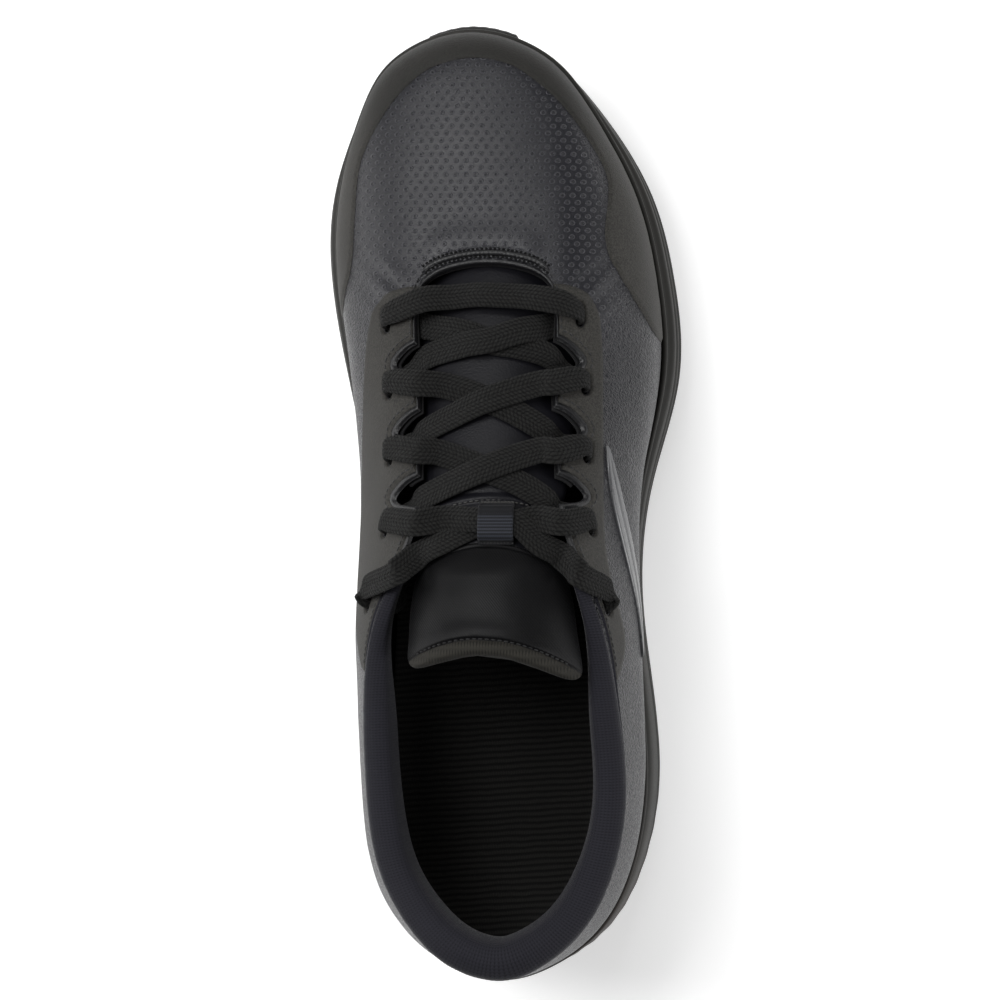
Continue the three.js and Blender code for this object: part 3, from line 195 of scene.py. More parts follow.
LACE = [[-27.5, 66, 26.88, -1, 0, 0, 2], [-28.5, 46, 27.39, -1, 0, 0, 0], [-29.5, 28, 29.77, -0.995, 0, 0.1, 0], [-32, 12, 39, -0.503, 0, 0.865, 0], [-32.5, -4, 48.5, 0, 0.503, 0.865, 0], [-29.5, -19, 60, 0, 0.8, 0.6, 0], [-27, -27.5, 74, 0, 0.981, 0.196, 0], [-29.5, -30.45, 79.33, 0.28, 0.922, 0.266, 1], [-33.55, -29.81, 81.4, 0.28, 0.922, 0.266, 1], [-37.26, -29.23, 83.3, 0.28, 0.922, 0.266, 1], [-37.94, -26.1, 85.44, 0.28, 0.922, 0.266, 1], [-27.55, -21.35, 98.77, 0.19, 0.971, -0.147, 0], [-20.2, -15.62, 95.06, 0, 0.949, -0.314, 0], [-14, -12.08, 96.9, 0, 0.949, -0.316, 0], [-2.31, -6.59, 96.88, 0, 0.947, -0.32, 1], [3.28, -5.85, 96.45, 0, 0.946, -0.323, 1], [8.9, -5.79, 95.73, 0, 0.945, -0.327, 1], [15.04, -4.78, 94.83, 0, 0.944, -0.331, 0], [23, -5.96, 97.48, -0.184, 0.96, -0.212, 0], [30.65, -4.76, 90.5, -0.23, 0.973, 0.012, 1], [31.34, -5.79, 87, -0.23, 0.973, 0.012, 1], [28.12, -6.52, 84.58, -0.23, 0.973, 0.012, 1], [25.28, -4.27, 85.05, -0.23, 0.973, 0.012, 1], [20.82, -3.09, 88.84, -0.182, 0.957, -0.226, 0], [17.22, 1.06, 90.34, 0, 0.941, -0.337, 0], [8.24, 6.36, 91.44, 0, 0.942, -0.335, 0], [0, 9.76, 91.2, 0, 0.944, -0.33, 0], [-14.93, 15.08, 87.29, 0, 0.946, -0.325, 0], [-20.96, 15.42, 89.84, 0.151, 0.954, -0.261, 0], [-31.01, 16.54, 82.44, -0.041, 0.962, -0.27, 1], [-31.73, 15.17, 79.07, -0.041, 0.962, -0.27, 1], [-28.55, 14.6, 76.55, -0.041, 0.962, -0.27, 1], [-25.87, 17.05, 76.85, -0.041, 0.962, -0.27, 1], [-23.53, 17.54, 78.59, 0.147, 0.971, -0.188, 0], [-20.05, 21.22, 81.31, 0, 0.945, -0.326, 0], [-8.47, 27.22, 85.1, 0, 0.943, -0.334, 0], [0.05, 31.19, 85.45, 0, 0.943, -0.332, 0], [14.67, 35.86, 81.77, 0, 0.945, -0.326, 0], [19.22, 36.09, 82.8, -0.121, 0.957, -0.264, 0], [27.15, 37.73, 78.27, -0.092, 0.964, -0.249, 1], [28.89, 36.71, 75.15, -0.092, 0.964, -0.249, 1], [26.54, 35.66, 71.96, -0.092, 0.964, -0.249, 1], [23.61, 37.76, 71.43, -0.092, 0.964, -0.249, 1], [21.41, 39.43, 72.16, -0.128, 0.965, -0.229, 0], [17.29, 44.22, 74.43, 0, 0.949, -0.316, 0], [8.29, 47.23, 76.94, 0, 0.95, -0.313, 0], [1.07, 48.34, 77.83, 0, 0.95, -0.312, 0], [-8.22, 51.34, 76.16, 0, 0.948, -0.319, 0], [-21.5, 53.83, 69.8, 0.077, 0.963, -0.258, 0], [-27.67, 55.13, 66.76, -0.056, 0.978, -0.201, 1], [-31.21, 55.24, 65.93, -0.056, 0.978, -0.201, 1], [-33.74, 55.75, 69.12, -0.056, 0.978, -0.201, 1], [-32.26, 57.03, 72.27, -0.056, 0.978, -0.201, 1], [-21.88, 61.34, 75.67, 0.052, 0.961, -0.273, 0], [-11.92, 62.46, 73.54, 0, 0.923, -0.384, 0], [-2.04, 62.98, 74.43, 0, 0.92, -0.392, 0], [7.8, 62.51, 73.87, 0, 0.918, -0.396, 0], [19.39, 61.09, 75.22, -0.076, 0.963, -0.259, 0], [24.96, 58.75, 73.37, -0.09, 0.974, -0.209, 1], [26.83, 57.27, 70.53, -0.09, 0.974, -0.209, 1], [24.69, 56.35, 67.15, -0.09, 0.974, -0.209, 1], [21.25, 55.28, 67.74, -0.09, 0.974, -0.209, 1], [18.52, 53.83, 69.29, -0.095, 0.963, -0.251, 0], [8.79, 51.95, 77.28, 0, 0.944, -0.329, 0], [-0.99, 48.93, 79.7, 0, 0.951, -0.311, 0], [-8.44, 47.55, 78.53, 0, 0.953, -0.303, 0], [-20.03, 44.17, 73.98, 0, 0.958, -0.285, 0], [-23.74, 39.72, 72.34, 0.104, 0.98, -0.172, 0], [-27.1, 37.43, 70.62, -0.05, 0.969, -0.243, 1], [-29.81, 34.99, 70.68, -0.05, 0.969, -0.243, 1], [-32.63, 35.57, 73.6, -0.05, 0.969, -0.243, 1], [-31.44, 36.81, 76.89, -0.05, 0.969, -0.243, 1], [-21.88, 36.09, 82.8, 0.109, 0.971, -0.214, 0], [-13.82, 35.25, 80.81, 0, 0.953, -0.303, 0], [0.02, 30.56, 83.66, 0, 0.943, -0.332, 0], [8.27, 26.87, 83.84, 0, 0.938, -0.347, 0], [17.25, 21.29, 82.71, 0, 0.932, -0.362, 0], [21.43, 17.14, 79.98, -0.161, 0.945, -0.285, 0], [24.14, 16.58, 78.8, -0.037, 0.949, -0.312, 1], [27.34, 14.84, 78.73, -0.037, 0.949, -0.312, 1], [29.97, 15.91, 81.69, -0.037, 0.949, -0.312, 1], [28.53, 17.18, 84.87, -0.037, 0.949, -0.312, 1], [20.48, 15.41, 89.85, -0.159, 0.936, -0.313, 0], [15.69, 15.77, 88.83, 0, 0.935, -0.356, 0], [-0.01, 10.39, 92.99, 0, 0.944, -0.33, 0], [-8.53, 6.68, 92.31, 0, 0.948, -0.318, 0], [-20.1, 0.98, 87.89, 0, 0.953, -0.303, 0], [-23.01, -2.7, 85.3, 0.148, 0.979, -0.137, 0], [-26.12, -4.48, 82.12, 0.246, 0.968, 0.052, 1], [-28.64, -7.12, 82.06, 0.246, 0.968, 0.052, 1], [-31.98, -6.39, 84.33, 0.246, 0.968, 0.052, 1], [-31.44, -5.2, 87.81, 0.246, 0.968, 0.052, 1], [-21.46, -6, 97.51, 0.172, 0.966, -0.194, 0], [-12.99, -4.81, 95.17, 0, 0.95, -0.313, 0], [-2.44, -5.26, 98.17, 0, 0.947, -0.32, 1], [3.4, -5.31, 98, 0, 0.946, -0.323, 1], [9.27, -6.06, 97.53, 0, 0.945, -0.327, 1], [16.03, -12.05, 96.7, 0, 0.944, -0.33, 0], [22.22, -15.59, 94.82, 0, 0.944, -0.331, 0], [28.61, -21.57, 98.98, -0.164, 0.979, -0.122, 0], [36.93, -26.77, 88.63, -0.262, 0.93, 0.258, 1], [36.24, -29.87, 86.43, -0.262, 0.93, 0.258, 1], [32.59, -30.33, 84.41, -0.262, 0.93, 0.258, 1], [28.59, -30.85, 82.2, -0.262, 0.93, 0.258, 1], [27, -27.5, 74, 0, 0.981, 0.196, 0], [29.5, -19, 60, 0, 0.8, 0.6, 0], [32.5, -4, 48.5, 0, 0.503, 0.865, 0], [30, 12, 39, 0.503, 0, 0.865, 0], [26.5, 28, 29.77, 0.995, 0, 0.1, 0], [22.5, 46, 27.39, 1, 0, 0, 0], [19.5, 66, 26.88, 1, 0, 0, 2]]
NOTCHES = [
    [[12, 50.5], [21, 49.6], [27.2, 43.2], [26.4, 41.2], [21.4, 40.6], [12, 40]],
    [[12, 29.4], [22, 28.6], [28, 22.4], [27.2, 20.4], [22.2, 19.8], [12, 19.4]],
    [[12, 9.4], [23, 8.6], [29.2, 2.4], [28.4, 0.4], [24, -0.2], [12, -0.6]],
    [[-14, 49.6], [-24, 48.4], [-30, 42.6], [-29.2, 40.4], [-24.2, 39.8], [-14, 39.4]],
    [[-14, 29], [-22.6, 27.8], [-28.8, 21.8], [-28, 19.6], [-23, 19], [-14, 18.6]],
    [[-14, 9], [-22.4, 7.8], [-28.8, 1.8], [-28, -0.4], [-23.4, -1], [-14, -1.4]],
]
WINDOW = [[-60, 20], [-54, 40], [-49.2, 60.1], [-47.5, 66.3], [-45.2, 73.3], [-44.5, 88.2], [-43.7, 103.1], [-40.5, 111.2], [-32.8, 123.7], [-22.9, 133.2], [-13.1, 136.5], [-4.1, 137], [4.9, 134.6], [12.3, 129.4], [19.7, 122.7], [27.1, 112.9], [32.3, 103.9], [34.2, 98.1], [33.8, 90.3], [33.0, 82.9], [34.1, 75.6], [38.9, 67.4], [43.9, 58.8], [50, 48], [60, 40], [60, -60], [-60, -60]]
STAY_OUTER = [[15, 66.4], [24.6, 66.3], [30.6, 61.8], [33, 52.7], [33.8, 19], [34.3, -10], [37, -25], [40.4, -38], [40.6, -46], [37.2, -58], [0, -58], [0, 60]]
STAY_INNER = [[-19, 66], [-31, 65.4], [-37.4, 60], [-39.9, 51.8], [-41.4, 30], [-41.8, 0], [-42, -20], [-42.4, -40], [-38, -56], [0, -56], [0, 60]]


def smooth_poly(poly, rounds=2, keep=()):
    """Chaikin corner rounding of a closed outline."""
    p = np.array(poly, float)
    for _ in range(rounds):
        q = np.roll(p, -1, 0)
        p = np.stack([p * 0.75 + q * 0.25, p * 0.25 + q * 0.75], 1).reshape(-1, 2)
    return p


def sd_poly(x, y, poly):
    """Signed distance to a closed outline, positive inside."""
    P = np.asarray(poly, float)
    Q = np.roll(P, -1, 0)
    best = np.full(x.shape, 1e9)
    inside = np.zeros(x.shape, bool)
    for (ax, ay), (bx, by) in zip(P, Q):
        ex, ey = bx - ax, by - ay
        wx, wy = x - ax, y - ay
        u = np.clip((wx * ex + wy * ey) / (ex * ex + ey * ey + 1e-12), 0, 1)
        best = np.minimum(best, np.hypot(wx - ex * u, wy - ey * u))
        crosses = ((ay > y) != (by > y)) & (x < (bx - ax) * (y - ay) / (by - ay + 1e-12) + ax)
        inside ^= crosses
    return np.where(inside, best, -best)


# The open throat and ankle in plan, with the scallops between the eyelets.
_tt = np.linspace(0, RIBS, 261)[:-1]
TOPLINE = S(_tt, 5.0)[0][:, :2]
NOTCH_P = [smooth_poly(n, 2) for n in NOTCHES]


def edge_distance(x, y):
    """How far, in plan, a point of the upper is from its open edge; negative inside the opening."""
    d = sd_poly(x, y, TOPLINE)
    for n in NOTCH_P:
        near = (np.abs(x - n[:, 0].mean()) < 24) & (np.abs(y - n[:, 1].mean()) < 16)
        if near.any():
            e = np.full(x.shape, -1e9)
            e[near] = sd_poly(x[near], y[near], n)
            d = np.maximum(d, e)
    return -d


def hole_distance(P, long=3.7, wide=1.25, rows=range(10)):
    """How far a point is outside the nearest eyelet."""
    best = np.full(P.shape[:-1], 1e9)
    for k in rows:
        h = np.array(HOLES[k], float)
        c, n, a = h[:3], h[3:6], h[6:9]
        b = np.cross(n, a)
        r = P - c
        u, v = np.abs(r @ a) - (long - wide), r @ b
        best = np.minimum(best, np.where(np.abs(r @ n) < 12, np.hypot(np.maximum(u, 0), v) - wide, 1e9))
    return best


# ---------------------------------------------------------------- mesh making


def to_mesh(name, verts, faces, uv=None, attrs=None, material=None, smooth=True, angle=None):
    """verts are millimetres in the shoe's own frame; the object lies at the origin of the row frame."""
    me = bpy.data.meshes.new(name)
    me.from_pydata(((np.asarray(verts, float) + SHIFT) * 0.001).tolist(), [], [list(map(int, f)) for f in faces])
    if uv is not None:
        layer = me.uv_layers.new(name="uv")
        idx = np.empty(len(me.loops), int)
        me.loops.foreach_get("vertex_index", idx)
        layer.data.foreach_set("uv", np.asarray(uv, np.float32)[idx].ravel())
    for k, v in (attrs or {}).items():
        me.attributes.new(k, "FLOAT", "POINT").data.foreach_set("value", np.asarray(v, np.float32))
    me.validate(clean_customdata=False)
    if smooth:
        me.shade_smooth()
    if angle:
        me.set_sharp_from_angle(angle=math.radians(angle))
    o = bpy.data.objects.new(name, me)
    bpy.context.scene.collection.objects.link(o)
    if material:
        me.materials.append(material)
    return o


def grid_faces(R, C, around=False, flip=False, base=0):
    r, c = np.meshgrid(np.arange(R - 1), np.arange(C if around else C - 1), indexing="ij")
    a, b = base + r * C + c, base + r * C + (c + 1) % C
    d, e = base + (r + 1) * C + (c + 1) % C, base + (r + 1) * C + c
    f = np.stack([a, b, d, e], -1).reshape(-1, 4)
    return (f[:, ::-1] if flip else f).tolist()


def slab_mesh(name, front, back, around=False, uv=None, attrs=None, **kw):
    """A closed piece between two grids [row][column][3], front facing out."""
    R, C = front.shape[:2]
    v = np.concatenate([front.reshape(-1, 3), back.reshape(-1, 3)])
    n = R * C
    f = grid_faces(R, C, around) + grid_faces(R, C, around, flip=True, base=n)
    last = C if around else C - 1
    for c in range(last):
        d = (c + 1) % C
        f.append([c, n + c, n + d, d])
        f.append([(R - 1) * C + c, (R - 1) * C + d, n + (R - 1) * C + d, n + (R - 1) * C + c])
    if not around:
        for r in range(R - 1):
            f.append([r * C, (r + 1) * C, n + (r + 1) * C, n + r * C])
            f.append([r * C + C - 1, n + r * C + C - 1, n + (r + 1) * C + C - 1, (r + 1) * C + C - 1])
    two = lambda q: None if q is None else np.concatenate([q.reshape(n, -1)] * 2)
    return to_mesh(name, v, f, uv=two(uv), attrs={k: np.concatenate([np.ravel(w)] * 2) for k, w in (attrs or {}).items()}, **kw)


def clip_grid(F, around=False):
    """Cuts a grid where F falls below 0. Returns, for each kept vertex, (vertex a, vertex b, share towards b), and polygons."""
    R, C = F.shape
    flat = F.ravel()
    idx = np.arange(R * C).reshape(R, C)
    nxt = np.roll(idx, -1, 1) if around else idx[:, 1:]
    cur = idx if around else idx[:, :-1]
    quads = np.stack([cur[:-1], nxt[:-1], nxt[1:], cur[1:]], -1).reshape(-1, 4)
    inside = flat >= 0
    count = inside[quads].sum(1)
    full, part = quads[count == 4], quads[(count > 0) & (count < 4)]
    used = np.unique(np.concatenate([full.ravel(), part.ravel()[inside[part.ravel()]]]))
    place = np.full(R * C, -1)
    place[used] = np.arange(len(used))
    verts = [(int(i), int(i), 0.0) for i in used]
    polys = place[full].tolist()
    keep = {}
    for q in part.tolist():
        p = []
        for k in range(4):
            i, j = q[k], q[(k + 1) % 4]
            if inside[i]:
                p.append(int(place[i]))
            if inside[i] != inside[j]:
                e = (min(i, j), max(i, j))
                if e not in keep:
                    u, v = flat[e[0]], flat[e[1]]
                    keep[e] = len(verts)
                    verts.append((e[0], e[1], float(np.clip(u / (u - v), 0.02, 0.98))))
                p.append(keep[e])
        if len(p) > 2:
            polys.append(p)
    return np.array(verts), polys


def rim_walls(polys, n):
    """Side walls between a sheet of polygons and its copy n vertices further on."""
    e = np.array([(p[k], p[(k + 1) % len(p)]) for p in polys for k in range(len(p))])
    key, back = e[:, 0] * n + e[:, 1], e[:, 1] * n + e[:, 0]
    return [[b, a, n + a, n + b] for a, b in e[~np.isin(key, back)].tolist()]


def contour(F, around=False):
    """Lines where F crosses 0 on a grid, each a list of (vertex a, vertex b, share)."""
    R, C = F.shape
    flat = F.ravel()
    idx = np.arange(R * C).reshape(R, C)
    nxt = np.roll(idx, -1, 1) if around else idx[:, 1:]
    cur = idx if around else idx[:, :-1]
    quads = np.stack([cur[:-1], nxt[:-1], nxt[1:], cur[1:]], -1).reshape(-1, 4)
    inside = flat >= 0
    count = inside[quads].sum(1)
    links = {}
    for q in quads[(count > 0) & (count < 4)].tolist():
        ends = []
        for k in range(4):
            i, j = q[k], q[(k + 1) % 4]
            if inside[i] != inside[j]:
                ends.append((min(i, j), max(i, j)))
        for k in range(0, len(ends) - 1, 2):
            links.setdefault(ends[k], []).append(ends[k + 1])
            links.setdefault(ends[k + 1], []).append(ends[k])
    lines, done = [], set()
    for start in sorted(links, key=lambda k: len(links[k])):
        if start in done:
            continue
        line, at = [start], start
        done.add(start)
        while True:
            on = [x for x in links[at] if x not in done]
            if not on:
                break
            at = on[0]
            done.add(at)
            line.append(at)
        lines.append([(a, b, flat[a] / (flat[a] - flat[b])) for a, b in line])
    return lines


def skin(name, T, Q, F, outer, inner, around=False, grids=None, attrs=None, **kw):
    """A closed piece of the upper: where F >= 0 on the grid (T, Q), between the offsets outer and inner, which are grids too."""
    V, polys = clip_grid(F, around)
    a, b, w = V[:, 0].astype(int), V[:, 1].astype(int), V[:, 2]
    mix = lambda G: G.ravel()[a] * (1 - w) + G.ravel()[b] * w
    ta, tb = T.ravel()[a], T.ravel()[b]
    tb = np.where(tb - ta > RIBS / 2, tb - RIBS, np.where(ta - tb > RIBS / 2, tb + RIBS, tb))
    P, N = S(ta * (1 - w) + tb * w, mix(Q))
    v = np.concatenate([P + N * mix(outer)[:, None], P + N * mix(inner)[:, None]])
    n = len(V)
    faces = polys + [[n + i for i in p[::-1]] for p in polys] + rim_walls(polys, n)
    return to_mesh(name, v, faces, attrs={k: np.concatenate([mix(g)] * 2) for k, g in (attrs or {}).items()}, **kw)


def on_surface(line, T, Q, lift=0.0):
    """A contour's points on the upper, lifted off it: positions and normals."""
    a, b, w = (np.array([p[k] for p in line]) for k in range(3))
    ta, tb = T.ravel()[a.astype(int)], T.ravel()[b.astype(int)]
    tb = np.where(tb - ta > RIBS / 2, tb - RIBS, np.where(ta - tb > RIBS / 2, tb + RIBS, tb))
    q = Q.ravel()[a.astype(int)] * (1 - w) + Q.ravel()[b.astype(int)] * w
    P, N = S(ta * (1 - w) + tb * w, q)
    if isinstance(lift, np.ndarray):
        lift = (lift.ravel()[a.astype(int)] * (1 - w) + lift.ravel()[b.astype(int)] * w)[:, None]
    return P + N * lift, N


def capsules(name, centres, dirs, normals, length=2.3, r=0.3, flat=0.75, **kw):
    """Stitches: one small rounded rod for each centre, along dir, as one mesh."""
    rings = [(-0.5, 0.0), (-0.42, 0.75), (-0.2, 1), (0.2, 1), (0.42, 0.75), (0.5, 0.0)]
    K = 6
    ang = np.arange(K) * 2 * np.pi / K
    V, Fa = [], []
    for c, d, n in zip(centres, dirs, normals):
        b = np.cross(n, d)
        base = len(V)
        for u, q in rings:
            for k in ang:
                V.append(c + d * u * length + b * math.cos(k) * r * q + n * (math.sin(k) * r * flat * q + 0.12 * (1 - 4 * u * u) - 0.06))
        for i in range(len(rings) - 1):
            for k in range(K):
                Fa.append([base + i * K + k, base + i * K + (k + 1) % K, base + (i + 1) * K + (k + 1) % K, base + (i + 1) * K + k])
        Fa.append([base + k for k in range(K)][::-1])
        Fa.append([base + (len(rings) - 1) * K + k for k in range(K)])
    return to_mesh(name, np.array(V), Fa, **kw)


def along(points, pitch, start=0.5):
    """Evenly spaced places on a polyline: positions and directions."""
    P = np.asarray(points, float)
    L = np.concatenate([[0], np.cumsum(np.linalg.norm(np.diff(P, axis=0), axis=1))])
    at = np.arange(pitch * start, L[-1], pitch)
    pos = np.stack([np.interp(at, L, P[:, k]) for k in range(3)], 1)
    e = 0.4
    d = np.stack([np.interp(at + e, L, P[:, k]) - np.interp(at - e, L, P[:, k]) for k in range(3)], 1)
    return pos, d / np.linalg.norm(d, axis=1, keepdims=True)


def bumps(x, y, z, scale, seed):
    """Smooth seeded noise from a few sine waves, about -1 to 1."""
    g = np.random.default_rng(seed)
    v = np.zeros(np.shape(x))
    for _ in range(7):
        k = g.normal(size=3) * scale
        v = v + np.sin(k[0] * x + k[1] * y + k[2] * z + g.uniform(0, 6.28))
    return v / 4


def relax(P, rounds=3):
    """Light smoothing of a polyline, ends kept."""
    P = np.array(P, float)
    for _ in range(rounds):
        P[1:-1] = P[1:-1] * 0.5 + (P[:-2] + P[2:]) * 0.25
    return P


def stitch_line(name, P, N, pitch, length, r, material, body="shoe", gap_row=None):
    """A row of stitches along a line on a surface."""
    P = relax(P)
    pos, d = along(P, pitch)
    nn = np.array([N[int(np.argmin(((P - p) ** 2).sum(1)))] for p in pos])
    o = capsules(name, pos, d, nn, length=length, r=r, material=material)
    ship(o, body)
    return o


# ---------------------------------------------------------------- materials


class Mat:
    def __init__(self, name, color, rough=0.6, spec=0.5, sheen=0.0, sheen_rough=0.4, coat=0.0, coat_rough=0.3, metal=0.0):
        self.m = bpy.data.materials.new(name)
        self.m.use_nodes = True
        self.t = self.m.node_tree
        self.t.nodes.clear()
        out = self.t.nodes.new("ShaderNodeOutputMaterial")
        self.b = self.t.nodes.new("ShaderNodeBsdfPrincipled")
        self.t.links.new(self.b.outputs[0], out.inputs[0])
        self.set("Base Color", (*color, 1))
        for k, v in (("Roughness", rough), ("Specular IOR Level", spec), ("Sheen Weight", sheen), ("Sheen Roughness", sheen_rough), ("Coat Weight", coat), ("Coat Roughness", coat_rough), ("Metallic", metal)):
            self.set(k, v)

    def set(self, key, v, node=None):
        s = (node or self.b).inputs[key]
        if isinstance(v, bpy.types.NodeSocket):
            self.t.links.new(v, s)
        else:
            s.default_value = v

    def node(self, kind, out=0, props=None, **inputs):
        n = self.t.nodes.new(kind)
        for k, v in (props or {}).items():
            setattr(n, k, v)
        for k, v in inputs.items():
            self.set(int(k[1:]) if k[0] == "_" and k[1:].isdigit() else k.replace("_", " "), v, n)
        return n.outputs[out]

    def m2(self, op, a, b=0.0, c=None, clamp=False):
        ins = {"_0": a, "_1": b}
        if c is not None:
            ins["_2"] = c
        return self.node("ShaderNodeMath", props={"operation": op, "use_clamp": clamp}, **ins)

    add = lambda s, a, b: s.m2("ADD", a, b)
    sub = lambda s, a, b: s.m2("SUBTRACT", a, b)
    mul = lambda s, a, b: s.m2("MULTIPLY", a, b)

    def split(self, v):
        n = self.t.nodes.new("ShaderNodeSeparateXYZ")
        self.t.links.new(v, n.inputs[0])
        return n.outputs

    def join(self, x, y, z=0.0):
        return self.node("ShaderNodeCombineXYZ", _0=x, _1=y, _2=z)

    def mm(self):
        o = self.t.nodes.new("ShaderNodeTexCoord").outputs["Object"]
        return self.node("ShaderNodeVectorMath", props={"operation": "SCALE"}, _0=o, Scale=1000.0)

    def uv(self):
        return self.node("ShaderNodeUVMap", props={"uv_map": "uv"})

    def attr(self, name):
        return self.node("ShaderNodeAttribute", out=2, props={"attribute_name": name, "attribute_type": "GEOMETRY"})

    def noise(self, v, scale, detail=2.0, rough=0.5):
        return self.node("ShaderNodeTexNoise", Vector=v, Scale=scale, Detail=detail, Roughness=rough)

    def cells(self, v, scale=1.0, feature="DISTANCE_TO_EDGE", random=1.0):
        return self.node("ShaderNodeTexVoronoi", props={"feature": feature, "voronoi_dimensions": "3D"}, Vector=v, Scale=scale, Randomness=random)

    def fit(self, x, a, b, va=0.0, vb=1.0, kind="SMOOTHSTEP"):
        n = self.t.nodes.new("ShaderNodeMapRange")
        n.interpolation_type = kind
        self.set("Value", x, n)
        for k, v in (("From Min", a), ("From Max", b), ("To Min", va), ("To Max", vb)):
            n.inputs[k].default_value = v
        return n.outputs[0]

    def blend(self, f, a, b):
        n = self.t.nodes.new("ShaderNodeMix")
        n.data_type = "RGBA"
        for k, v in ((0, f), (6, a), (7, b)):
            if isinstance(v, bpy.types.NodeSocket):
                self.t.links.new(v, n.inputs[k])
            else:
                n.inputs[k].default_value = (*v, 1) if k else v
        return n.outputs[2]

    def bump(self, h, mm=1.0, strength=1.0):
        """Height h in units of mm millimetres."""
        self.set("Normal", self.node("ShaderNodeBump", Strength=strength, Distance=0.001 * mm, Height=h))


def rot(M, x, y, deg):
    c, s = math.cos(math.radians(deg)), math.sin(math.radians(deg))
    return M.add(M.mul(x, c), M.mul(y, s)), M.sub(M.mul(y, c), M.mul(x, s))


def leather_material():
    M = Mat("leather_embossed", (0.02, 0.02, 0.026), rough=0.42, spec=0.4)
    p = M.mm()
    x, y, z = M.split(p)
    # raised rings in offset rows
    row = M.m2("FLOOR", M.mul(y, 1 / 2.15))
    shift = M.mul(M.m2("MODULO", M.add(row, 400.0), 2.0), 0.5)
    u = M.mul(M.sub(M.m2("FRACT", M.add(M.add(M.mul(x, 1 / 3.1), shift), 50.0)), 0.5), 3.1)
    v = M.mul(M.sub(M.m2("FRACT", M.add(M.mul(y, 1 / 2.15), 60.0)), 0.5), 2.15)
    e = M.m2("SQRT", M.add(M.mul(M.mul(u, u), 0.8), M.mul(v, v)))
    wall = M.sub(M.fit(e, 0.84, 0.58), M.mul(M.fit(e, 0.42, 0.14), 0.75))
    # ring: the thin outline of each raised ring, used only in the colour below as a painted highlight
    ring = M.fit(M.m2("ABSOLUTE", M.sub(e, 0.68)), 0.22, 0.06)
    # fine slanted scales on the quarters
    a, b = rot(M, y, z, 34)
    q = M.join(M.mul(x, 0.85), M.mul(a, 0.62), M.mul(b, 1.2))
    scale = M.fit(M.cells(q, 1.0), 0.0, 0.28)
    grain = M.noise(p, 1.9, 3.0, 0.6)
    big = M.noise(p, 0.045, 3.0, 0.55)
    dots = M.attr("dots")
    dull = M.attr("plain")
    h = M.add(M.mul(M.mul(wall, dots), 0.33), M.mul(M.mul(scale, M.sub(1.0, dots)), 0.3))
    h = M.mul(h, M.sub(1.0, dull))
    h = M.add(h, M.mul(grain, 0.16))
    M.bump(h, 1.0, 1.0)
    low = M.blend(big, (0.0045, 0.0045, 0.0068), (0.008, 0.008, 0.0112))
    grain_tone_and_ring_highlight = M.blend(M.fit(M.mul(grain, 1.0), 0.35, 0.75), low, (0.0115, 0.0115, 0.0152))
    # painted highlight: the raised ring outlines are coloured lighter than the leather between them; the grain tone
    # before this is random
    grain_tone_and_ring_highlight = M.blend(M.mul(M.mul(ring, dots), 0.8), grain_tone_and_ring_highlight, (0.046, 0.046, 0.054))
    M.set("Base Color", M.blend(dull, grain_tone_and_ring_highlight, (0.004, 0.004, 0.0048)))
    M.set("Roughness", M.fit(grain, 0.3, 0.7, 0.3, 0.42))
    return M.m


def film_material():
    M = Mat("film_matte", (0.03, 0.028, 0.025), rough=0.66, spec=0.25)
    p = M.mm()
    g = M.noise(p, 1.75, 3.0, 0.7)
    s = M.noise(p, 0.09, 2.0, 0.5)
    wide = M.cells(M.node("ShaderNodeVectorMath", props={"operation": "SCALE"}, _0=p, Scale=2.3), 1.0, "F1")
    M.bump(M.add(M.mul(g, 0.2), M.mul(wide, 0.07)), 1.0, 1.0)
    g2 = M.fit(g, 0.36, 0.66)
    speck = M.blend(s, M.blend(g2, (0.0125, 0.0118, 0.0102), (0.037, 0.035, 0.031)), M.blend(g2, (0.0165, 0.0156, 0.0135), (0.046, 0.0435, 0.039)))
    _, fy, _ = M.split(p)
    # painted shade: the film's colour is darkened towards the toe tip, from y 98 to 126 mm
    M.set("Base Color", M.blend(M.mul(M.fit(fy, 98.0, 126.0), 0.62), speck, (0.0075, 0.0072, 0.0064)))
    M.set("Roughness", M.fit(g, 0.3, 0.7, 0.58, 0.72))
    return M.m


def thread_material(name, c):
    M = Mat(name, c, rough=0.62, spec=0.4, sheen=0.05)
    p = M.mm()
    w = M.node("ShaderNodeTexWave", props={"bands_direction": "DIAGONAL"}, Vector=p, Scale=0.9, Distortion=0.4)
    M.bump(w, 0.08, 0.8)
    # painted light and shade: the twist bands are coloured too, lighter on the ply crests and darker between them
    M.set("Base Color", M.blend(w, tuple(k * 0.7 for k in c), tuple(k * 1.35 for k in c)))
    return M.m


